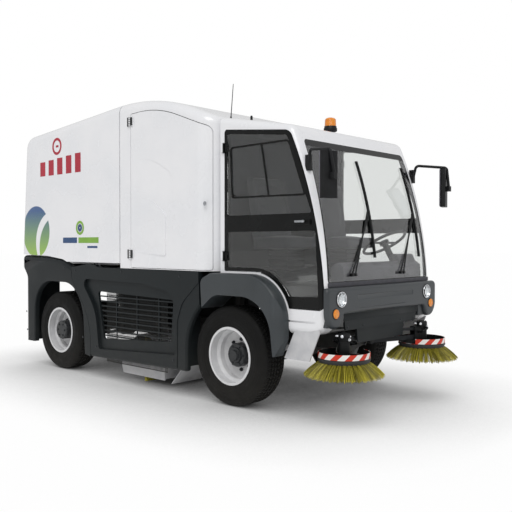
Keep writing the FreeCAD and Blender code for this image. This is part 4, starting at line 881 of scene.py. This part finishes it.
bright_chrome = finish("bright_chrome_plate", "E2E4E7", "D6D8DC", 30, (0.05, 0.12), Metallic=1.0)
lens_glass, tree, shader, place = clear_glass("pressed_lens_glass", "F4F6F6", 0.02)
flutes = add(tree, "TexWave", {"Vector": place, "Scale": waves(flute_pitch), "Distortion": 0.0},
             bands_direction="Y")
relief = add(tree, "Bump", {"Height": flutes.outputs["Fac"], "Strength": 0.5, "Distance": 0.002})
tree.links.new(relief.outputs["Normal"], shader.inputs["Normal"])


def lens_plastic(name, colour, shade):
    """Coloured acrylic lens: it glows a little of its own colour, because light passes it twice."""
    return finish(name, colour, shade, 18, (0.12, 0.2), Coat_Weight=0.5, Coat_Roughness=0.05,
                  Specular_IOR_Level=0.5, Subsurface_Weight=0.2, Subsurface_Scale=0.01)


def lamp_ring(name, lamp, sign, steps, count, hollow=False):
    """Turned part of a lamp, its steps counted from the lamp's own radius."""
    y, z, radius = lamp
    rings = [(radius - less, along) for less, along in steps]
    return lathe(name, (lamp_face, sign * y, z), (1, 0, 0), rings, count, hollow)


amber = lens_plastic("amber_acrylic", "EE9420", "DE8114")
red_lens = lens_plastic("red_acrylic", "B31217", "980D12")
bowl_steps = [(0, -0.05), (0, 0.004), (0.002, 0.008), (0.007, 0.008), (0.009, 0.004), (0.016, -0.012),
              (0.034, -0.03), (0.0535, -0.036), (0.0555, -0.018), (0.0595, -0.012)]
glass_steps = [(0.010, -0.004), (0.0095, 0.0035), (0.018, 0.0085), (0.032, 0.012), (0.0505, 0.0135),
               (0.0625, 0.0138)]
seal_steps = [(0, -0.01), (0, 0.005), (-0.006, 0.004), (-0.008, -0.01)]
rim_steps = [(0, -0.05), (0, 0.003), (0.004, 0.005), (0.006, 0.002), (0.006, -0.004)]
amber_steps = [(0.0065, -0.003), (0.0065, 0.006), (0.011, 0.009), (0.013, 0.0075), (0.02, 0.0095),
               (0.022, 0.008), (0.03, 0.011), (0.0425, 0.012)]
for name, lamp, steps, count, made, replaced in (
        ("lamp_shells", headlamp, bowl_steps, 64, bright_chrome, ("front_lamps",)),
        ("headlamp_lenses", headlamp, glass_steps, 64, lens_glass, ()),
        ("indicator_rims", indicator, rim_steps, 48, hinge_black, ()),
        ("indicator_lenses", indicator, amber_steps, 48, amber, ()),
        ("headlamp_seals", headlamp, seal_steps, 64, hinge_black, ())):
    pair = [lamp_ring("part", lamp, sign, steps, count, steps is seal_steps) for side, sign in sides]
    fit(join(name, pair), "chassis", "lamp", made, *replaced)


# Tail lamps
# Upright plastic clusters: a black tray with three lenses, red over amber over red, that stand out from it
# with rounded edges. They are clipped to the rear bumper's plate, one each side.
tray_black = finish("moulded_black_plastic", "141516", "1C1D1F", 40, (0.4, 0.55), (2, 0.08),
                    Specular_IOR_Level=0.25)
lens_step = 0.0305
low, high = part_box("tail_lamps")
trays, reds, ambers = [], [], []
for side, sign in sides:
    near, away = sorted((sign * 0.64, sign * high.y))
    trays.append(slab("tray", (low.x + 0.008, near, low.z), (high.x, away, high.z), 0.004))
    for count, lenses in enumerate((reds, ambers, reds)):
        bottom = low.z + 0.005 + count * lens_step
        corner = (low.x + 0.012, away - 0.006, bottom + 0.028)
        lenses.append(slab("lens", (low.x, near + 0.006, bottom), corner, 0.004, 3))
fit(join("tail_trays", trays), "chassis", "lamp", tray_black, "tail_lamps")
fit(join("tail_red_lenses", reds), "chassis", "lamp", red_lens)
fit(join("tail_amber_lenses", ambers), "chassis", "lamp", amber)


# Roof beacon and aerials
# Amber acrylic dome with moulded rings over a black rubber foot, a whip aerial on a ball foot, and a stub
# aerial. The dome is pressed on the foot, and both aerials are screwed through the cab's roof.
beacon_x = 1.537
dome_low = 2.544
ring_rise = 0.012
foot_steps = [(0.05, 0.095), (0.063, 0.1), (0.0635, 0.124), (0.060, 0.132), (0.0575, 0.136),
              (0.0575, 0.146)]
foot = lathe("beacon_foot", (beacon_x, 0, 2.4), (0, 0, 1), foot_steps, 48)
rings = [(0.0555, 0.0), (0.0555, 0.004)]
for count in range(5):
    less, rise = count * 0.0006, count * ring_rise
    rings += [(0.0548 - less, 0.006 + rise), (0.0532 - less, 0.010 + rise), (0.0545 - less, 0.014 + rise)]
rings += [(0.048, 0.070), (0.038, 0.078), (0.022, 0.083), (0.004, 0.0845)]
dome = lathe("beacon_dome", (beacon_x, 0, dome_low), (0, 0, 1), rings, 48)
whip_foot = (1.027, -0.82, 2.512)
stub_foot = (1.167, -0.69, 2.535)
stub_steps = [(0.016, 0), (0.016, 0.008), (0.0115, 0.014), (0.011, 0.055), (0.008, 0.065)]
whip_steps = [(0.015, 0), (0.016, 0.03), (0.013, 0.055), (0.007, 0.075), (0.0045, 0.09), (0.004, 0.12),
              (0.003, 0.36), (0.002, 0.372)]
whip = lathe("whip_aerial", whip_foot, (0.10, 0, 1), whip_steps, 16)
stub = lathe("stub_aerial", stub_foot, (0, 0, 1), stub_steps, 24)
fit(join("beacon_base_and_aerials", [foot, whip, stub]), "chassis", "lamp", tray_black, "roof_fittings")
fit(dome, "chassis", "lamp", amber)


# Mirrors and wipers
# Steel tube bows and moulded heads in satin black, each head with flat silvered glass in a soft grey
# surround. Wiper arms and bowed blades are black painted steel with rubber lips.
satin_black = finish("satin_black_plastic", "111213", "18191B", 60, (0.36, 0.5), (2, 0.06),
                     Specular_IOR_Level=0.25)
coat(satin_black, "mirrors", "wipers", "steering_wheel")

silvered = finish("silvered_glass", "CDD2D6", "C5CACF", 100, (0.02, 0.05), Metallic=1.0)
surround = finish("soft_grey_surround", "77757F", "6C6A74", 60, (0.5, 0.6), Specular_IOR_Level=0.4)
head_place = Vector((2.218, -0.923, 1.983))
head_turn = math.radians(-18)
head_depth = 0.022
for name, depth, half_wide, half_high, made in (("surround", 0.030, 0.074, 0.180, surround),
                                                ("glass", 0.033, 0.064, 0.170, silvered)):
    back, front = (-depth, -half_wide, -half_high), (-head_depth, half_wide, half_high)
    piece = slab("mirror_" + name + "_right", back, front, 0.003)
    piece.data.transform(Matrix.Translation(head_place) @ Matrix.Rotation(head_turn, 4, "Z"))
    fit_pair(piece, "chassis", "black", made)


# Dashboard
# Moulded mid-grey console with a leathery grain, under a hooded instrument pod.
# It is carried over, and screwed to the cab's front wall.
console_grey = finish("grained_grey_console", "5E5E63", "545459", 120, (0.5, 0.62), (4, 0.3),
                      Specular_IOR_Level=0.4)
coat(console_grey, "dashboard")


# Cab lining
# Pressed felt board on the cab's rear wall in two sheets, mid-grey above the seats' backs and near black
# below. The sheets are flat slabs with a hemmed edge, which insets press in.
lining_x = 1.0035
lining_wall = 0.012
lining_half = 0.80
for name, low, high, colour, shade in (("upper", 1.64, 2.44, "4A4B52", "44454B"),
                                       ("lower", 1.23, 1.63, "1C1D1F", "232426")):
    felt = finish("felt_board_" + name, colour, shade, 60, (0.85, 0.95), (3, 0.3), Specular_IOR_Level=0.15)
    corner = (lining_x + lining_wall, lining_half, high)
    sheet = slab("cab_lining_" + name, (lining_x, -lining_half, low), corner, 0.005, 3)
    choose(sheet, lambda middle, normal: normal.x > 0.99)
    bpy.ops.mesh.inset(thickness=0.03, depth=0)
    bpy.ops.mesh.inset(thickness=0.006, depth=-0.003)
    clear()
    fit(sheet, "chassis", "white", felt)


# Seats
# Sprung driver's and passenger's seats: a rubber bellows on a steel base, a foam cushion and a backrest in
# dark woven cloth. The pads are crowned between their seams, and the seams are pressed in by insets.
thread_pitch = 18.85


def cloth(name, colour, shade):
    """Plain weave, its threads drawn 19 mm apart, far coarser than the real cloth, so that they show."""
    made, tree, shader, place = begin(name, Specular_IOR_Level=0.2, Sheen_Weight=0.3)
    mottle(tree, shader, place, colour, shade, 50, 0.8, 0.92)
    weft, warp = [add(tree, "TexWave", {"Vector": place, "Scale": waves(thread_pitch)}, bands_direction=way)
                  for way in ("Y", "DIAGONAL")]
    cross = overlap(tree, weft.outputs["Fac"], warp.outputs["Fac"])
    relief = add(tree, "Bump", {"Height": cross, "Strength": 0.5, "Distance": 0.001})
    tree.links.new(relief.outputs["Normal"], shader.inputs["Normal"])
    return made


def pad(name, low, high, crown):
    """Stuffed pad: a rounded block whose broad faces are inset for a seam and raised to a crown."""
    size = Vector(high) - Vector(low)
    thick = min(size)
    piece = slab(name, low, high)
    open_all()
    bpy.ops.mesh.bevel(offset=thick * 0.3, segments=3, affect="EDGES")
    choose(piece, lambda middle, normal: abs(normal[list(size).index(thick)]) > 0.99)
    for thickness, depth in ((0.012, -0.004), (0.010, 0.004), (thick * 0.5, crown * 0.7),
                             (thick * 0.4, crown * 0.3)):
        bpy.ops.mesh.inset(thickness=thickness, depth=depth)
    hold(piece)
    rounder = piece.modifiers.new("rounder", "SUBSURF")
    rounder.levels = 2
    rounder.render_levels = 2
    bpy.ops.object.modifier_apply(modifier="rounder")
    bpy.ops.object.shade_smooth()
    return piece


seat_cloth = cloth("dark_woven_cloth", "3A3B40", "45464B")
bellows_rubber = finish("bellows_rubber", "1B1C1D", "252627", 40, (0.6, 0.75), Specular_IOR_Level=0.35)
back_hinge = (1.205, 0, 1.47)
back_lean = math.radians(-7.5)
seat_floor = 1.2135
fold_rise = 0.045
fold_in = 0.150
fold_out = 0.165
rings = [(fold_in, seat_floor)]
for count in range(4):
    fold = seat_floor + count * fold_rise
    rings += [(fold_in, fold + 0.02), (fold_out, fold + 0.034), (fold_in, fold + 0.048)]
rings.append((fold_in, 1.392))
for side, sign in sides:
    near, away = sorted((sign * 0.215, sign * 0.685))
    cushion = pad("seat_cushion_" + side, (1.17, near, 1.395), (1.594, away, 1.505), 0.012)
    back = pad("seat_back_" + side, (-0.055, near + 0.01, 0.0), (0.055, away - 0.01, 0.58), 0.01)
    back.data.transform(Matrix.Translation(back_hinge) @ Matrix.Rotation(back_lean, 4, "Y"))
    bellows = lathe("seat_bellows_" + side, (1.372, sign * 0.45, 0), (0, 0, 1), rings, 4, start=math.pi / 4)
    fit(cushion, "chassis", "seat_cloth", seat_cloth, "seats")
    fit(back, "chassis", "seat_cloth", seat_cloth)
    fit(bellows, "chassis", "seat_cloth", bellows_rubber)


# Water tank
# Rotation-moulded polyethylene, milky and waxy, behind the service doors.
# It is carried over, and strapped to the body's subframe.
tank_plastic = finish("rotomoulded_polyethylene", "D2D4D2", "C6C9C6", 200, (0.45, 0.58), (8, 0.2),
                      Specular_IOR_Level=0.4, Subsurface_Weight=0.15, Subsurface_Scale=0.02)
coat(tank_plastic, "water_tank")


# Side brushes
# Steel plate with tufts of yellow polypropylene bristle pressed into it in three rings, all splayed. One
# bristle of each ring is drawn and copied into a tuft, and the tuft is copied round the plate.
brush_x = 2.151
brush_y = 0.626
plate_z = 0.470
brush_low = 0.350
bristle_half = 0.0023
tuft_count = 34
tuft_bristles = 20
inner_count = 28
taper = 0.86

bristle_yellow, tree, shader, place = begin("yellow_polypropylene", Specular_IOR_Level=0.4)
forward, wide, height = spans(tree, place)
# Painted shade: the bristles darken towards their roots under the plate, and in dark streaks round the
# brush that stand for the shaded gaps between tufts.
root_shade_rise = add(tree, "MapRange", {"Value": height, "From Min": brush_low, "From Max": plate_z, "To Min": 0.0,
                              "To Max": 0.75})
cloud = add(tree, "TexNoise", {"Vector": place, "Scale": 1000 / 22, "Detail": 3.0})
shade = overlap(tree, root_shade_rise.outputs[0], cloud.outputs["Fac"])
base = mottle(tree, shader, place, "E2D648", "A3982C", 7, 0.45, 0.6)
off = add(tree, "Math", {0: wide, 1: brush_y}, operation="SUBTRACT").outputs[0]
ahead = add(tree, "Math", {0: forward, 1: brush_x}, operation="SUBTRACT").outputs[0]
turn = add(tree, "Math", {0: off, 1: ahead}, operation="ARCTAN2").outputs[0]
gap_shade_streak = add(tree, "TexNoise", {"W": turn, "Scale": 38.0, "Detail": 3.0},
             noise_dimensions="1D").outputs["Fac"]
dark = add(tree, "MapRange", {"Value": gap_shade_streak, "From Min": 0.40, "From Max": 0.60,
                              "To Max": 0.85}).outputs[0]
base = recolour(tree, shader, base, dark, "453F10")
recolour(tree, shader, base, shade, "4E4912")


def bristle(name, root_radius, root_z, tip_radius, tip_z, bend):
    """One strand out along X, bowed by bend: a four-sided cone pulled out in three steps."""
    clear()
    run = Vector((tip_radius - root_radius, 0, tip_z - root_z))
    bow = Vector((-run.z, 0, run.x)).normalized() * bend
    bpy.ops.mesh.primitive_circle_add(vertices=4, radius=bristle_half, fill_type="NGON",
                                      location=(root_radius, 0, root_z),
                                      rotation=run.to_track_quat("Z", "Y").to_euler())
    strand = bpy.context.object
    strand.name = name
    bpy.ops.object.transform_apply()
    open_all()
    for step in (run / 3 + bow, run / 3, run / 3 - bow):
        bpy.ops.mesh.extrude_region_move(TRANSFORM_OT_translate={"value": step})
        bpy.ops.transform.resize(value=(taper, taper, taper))
    face_out()
    clear()
    return strand


def tuft(name, root_radius, root_z, tip_radius, tip_z, seed):
    """Bunch of bristles that fans out a little from its hole."""
    dice = random.Random(seed)
    strand = bristle("strand", root_radius, root_z, tip_radius, tip_z, 0.007)
    bunch = []
    for count in range(tuft_bristles):
        fan = Matrix.Rotation(dice.gauss(0, 0.036), 4, "Z")
        lift = Matrix.Translation((dice.uniform(-0.02, 0.012), dice.uniform(-0.006, 0.006),
                                   dice.uniform(0, 0.01)))
        hinge = Matrix.Translation((root_radius, 0, root_z))
        nod = hinge @ Matrix.Rotation(dice.uniform(-0.09, 0.07), 4, "Y") @ hinge.inverted()
        bunch.append(copied(strand, fan @ lift @ nod))
    bpy.data.objects.remove(strand)
    return join(name, bunch)


outer = tuft("outer_tuft", 0.188, plate_z + 0.004, 0.318, brush_low + 0.006, 3)
inner = tuft("inner_tuft", 0.150, plate_z + 0.004, 0.268, brush_low + 0.003, 5)
inner_low = tuft("low_tuft", 0.115, plate_z + 0.004, 0.215, brush_low + 0.004, 7)
skirts = []
for bunch, count, shift in ((outer, tuft_count, 0.0), (inner, tuft_count, 0.5),
                            (inner_low, inner_count, 0.25)):
    for number in range(count):
        turn = Matrix.Rotation(2 * math.pi * (number + shift) / count, 4, "Z")
        skirts.append(copied(bunch, turn))
    bpy.data.objects.remove(bunch)
skirt = join("bristles", skirts)
plate_steps = [(0.112, -0.004), (0.196, -0.004), (0.204, 0.002), (0.209, 0.008), (0.209, 0.02),
               (0.203, 0.026), (0.188, 0.028), (0.06, 0.028)]
plate = lathe("plate", (0, 0, plate_z), (0, 0, 1), plate_steps, 64)
disc_grey = finish("dark_brush_plate", "2B2D2F", "3A3A38", 30, (0.5, 0.7), (3, 0.2), Specular_IOR_Level=0.4)
for side, sign in sides:
    spot = Matrix.Translation((brush_x, sign * brush_y, 0))
    for mould, name, made, replaced in ((skirt, "side_brush_bristles_", bristle_yellow, ()),
                                        (plate, "side_brush_plate_", disc_grey, ("side_brush_" + side,))):
        copy = copied(mould, spot)
        copy.name = name + side
        fit(copy, "side_brush_" + side, "bristle", made, *replaced)
bpy.data.objects.remove(skirt)
bpy.data.objects.remove(plate)


# Brush heads
# Black cast motor with cooling fins, a bolted cap and bright hose unions, over a steel deck. The guard band
# has diagonal red and white reflecting film: the stripes run round it at one slope, whatever the band's own
# turn.
band_radius = 0.2105
band_low = 0.509
stripe_pitch = 0.118
motor_z = 0.70
cap_ring = 0.038
union_reach = 0.047
motor_steps = [(0.0485, -0.07), (0.0505, -0.068), (0.0505, -0.058), (0.0485, -0.056), (0.0485, -0.02),
               (0.0505, -0.018), (0.0505, 0.0), (0.046, 0.005), (0.03, 0.007), (0.026, 0.007),
               (0.024, 0.012), (0.012, 0.013)]
cap_steps = [(0.006, -0.001), (0.006, 0.005), (0.005, 0.006)]
fin_steps = [(0.047, 0), (0.0535, 0.0005), (0.0535, 0.003), (0.047, 0.0035)]
union_steps = [(0.011, 0), (0.011, 0.007), (0.0135, 0.007), (0.0135, 0.017), (0.0095, 0.018),
               (0.0095, 0.026), (0.005, 0.026)]
guard_steps = [(0.204, 0.494), (0.211, 0.4905), (0.2175, 0.4925), (0.219, 0.499), (0.217, 0.5055),
               (0.204, 0.5055)]
unions_at = ((-2.3, 0.688), (-1.2, 0.688), (-0.2, 0.66), (1.4, 0.676))
for side, sign in sides:
    guard, tree, shader, place = begin("brush_head_black_" + side, Specular_IOR_Level=0.25)
    under = mottle(tree, shader, place, "101112", "191B1C", 40, 0.35, 0.5)
    grain(tree, shader, place, 2, 0.08)
    around = add(tree, "VectorMath", {0: place, 1: (brush_x, sign * brush_y, 0)},
                 operation="SUBTRACT").outputs[0]
    axes = add(tree, "SeparateXYZ", {0: around})
    flat = add(tree, "VectorMath", {0: around, 1: (1, 1, 0)}, operation="MULTIPLY").outputs[0]
    out = add(tree, "VectorMath", {0: flat}, operation="LENGTH").outputs["Value"]
    angle = add(tree, "Math", {0: axes.outputs[1], 1: axes.outputs[0]}, operation="ARCTAN2").outputs[0]
    run = add(tree, "Math", {0: angle, 1: band_radius}, operation="MULTIPLY").outputs[0]
    slope = add(tree, "Math", {0: run, 1: axes.outputs[2]}, operation="SUBTRACT").outputs[0]
    count = add(tree, "Math", {0: slope, 1: stripe_pitch}, operation="DIVIDE").outputs[0]
    part = add(tree, "Math", {0: count, 1: 1.0, 2: 0.0}, operation="WRAP").outputs[0]
    red = add(tree, "Math", {0: part, 1: 0.5}, operation="LESS_THAN").outputs[0]
    film = add(tree, "Mix", {0: red, 6: linear("E9E6E2"), 7: linear("C63A28")}, data_type="RGBA").outputs[2]
    beyond = add(tree, "Math", {0: out, 1: band_radius}, operation="GREATER_THAN").outputs[0]
    above = add(tree, "Math", {0: axes.outputs[2], 1: band_low + 0.003},
                operation="GREATER_THAN").outputs[0]
    recolour(tree, shader, under, overlap(tree, beyond, above), film)
    coat(guard, "brush_head_" + side)
    rim = lathe("guard_rim_" + side, (brush_x, sign * brush_y, 0), (0, 0, 1), guard_steps, 72, hollow=True)
    fit(rim, "brush_head_" + side, "black", disc_grey)

for side, sign in sides:
    body = "brush_head_" + side
    middle = (brush_x, sign * brush_y)
    motor = [lathe("motor", (*middle, motor_z), (0, 0, 1), motor_steps, 40)]
    motor += bolt_circle("bolt", (*middle, motor_z + 0.0055), (0, 0, 1), cap_ring, 4, cap_steps,
                         math.pi / 4)
    for z in (0.645, 0.653, 0.661, 0.669):
        motor.append(lathe("fin", (*middle, z), (0, 0, 1), fin_steps, 40, hollow=True))
    fit(join("brush_motor_" + side, motor), body, "black", tray_black)
    unions = []
    for turn, z in unions_at:
        way = Vector((math.cos(turn), math.sin(turn), 0))
        unions.append(lathe("union", Vector((*middle, z)) + way * union_reach, way, union_steps, 6))
    fit(join("brush_unions_" + side, unions), body, "black", bright_chrome)


# Roller broom
# Rows of yellow bristle on a steel core, duller than the side brushes.
# They are carried over, and get grooves between the bristles, drawn 38 mm apart so that they show.
groove_pitch = 37.7
row_bristle, tree, shader, place = begin("packed_yellow_bristle", Specular_IOR_Level=0.3)
mottle(tree, shader, place, "A9A035", "6F6A20", 12, 0.6, 0.8)
strands = add(tree, "TexWave", {"Vector": place, "Scale": waves(groove_pitch), "Distortion": 1.5},
              bands_direction="Y")
relief = add(tree, "Bump", {"Height": strands.outputs["Fac"], "Strength": 0.8, "Distance": 0.004})
tree.links.new(relief.outputs["Normal"], shader.inputs["Normal"])
coat(row_bristle, "main_broom")
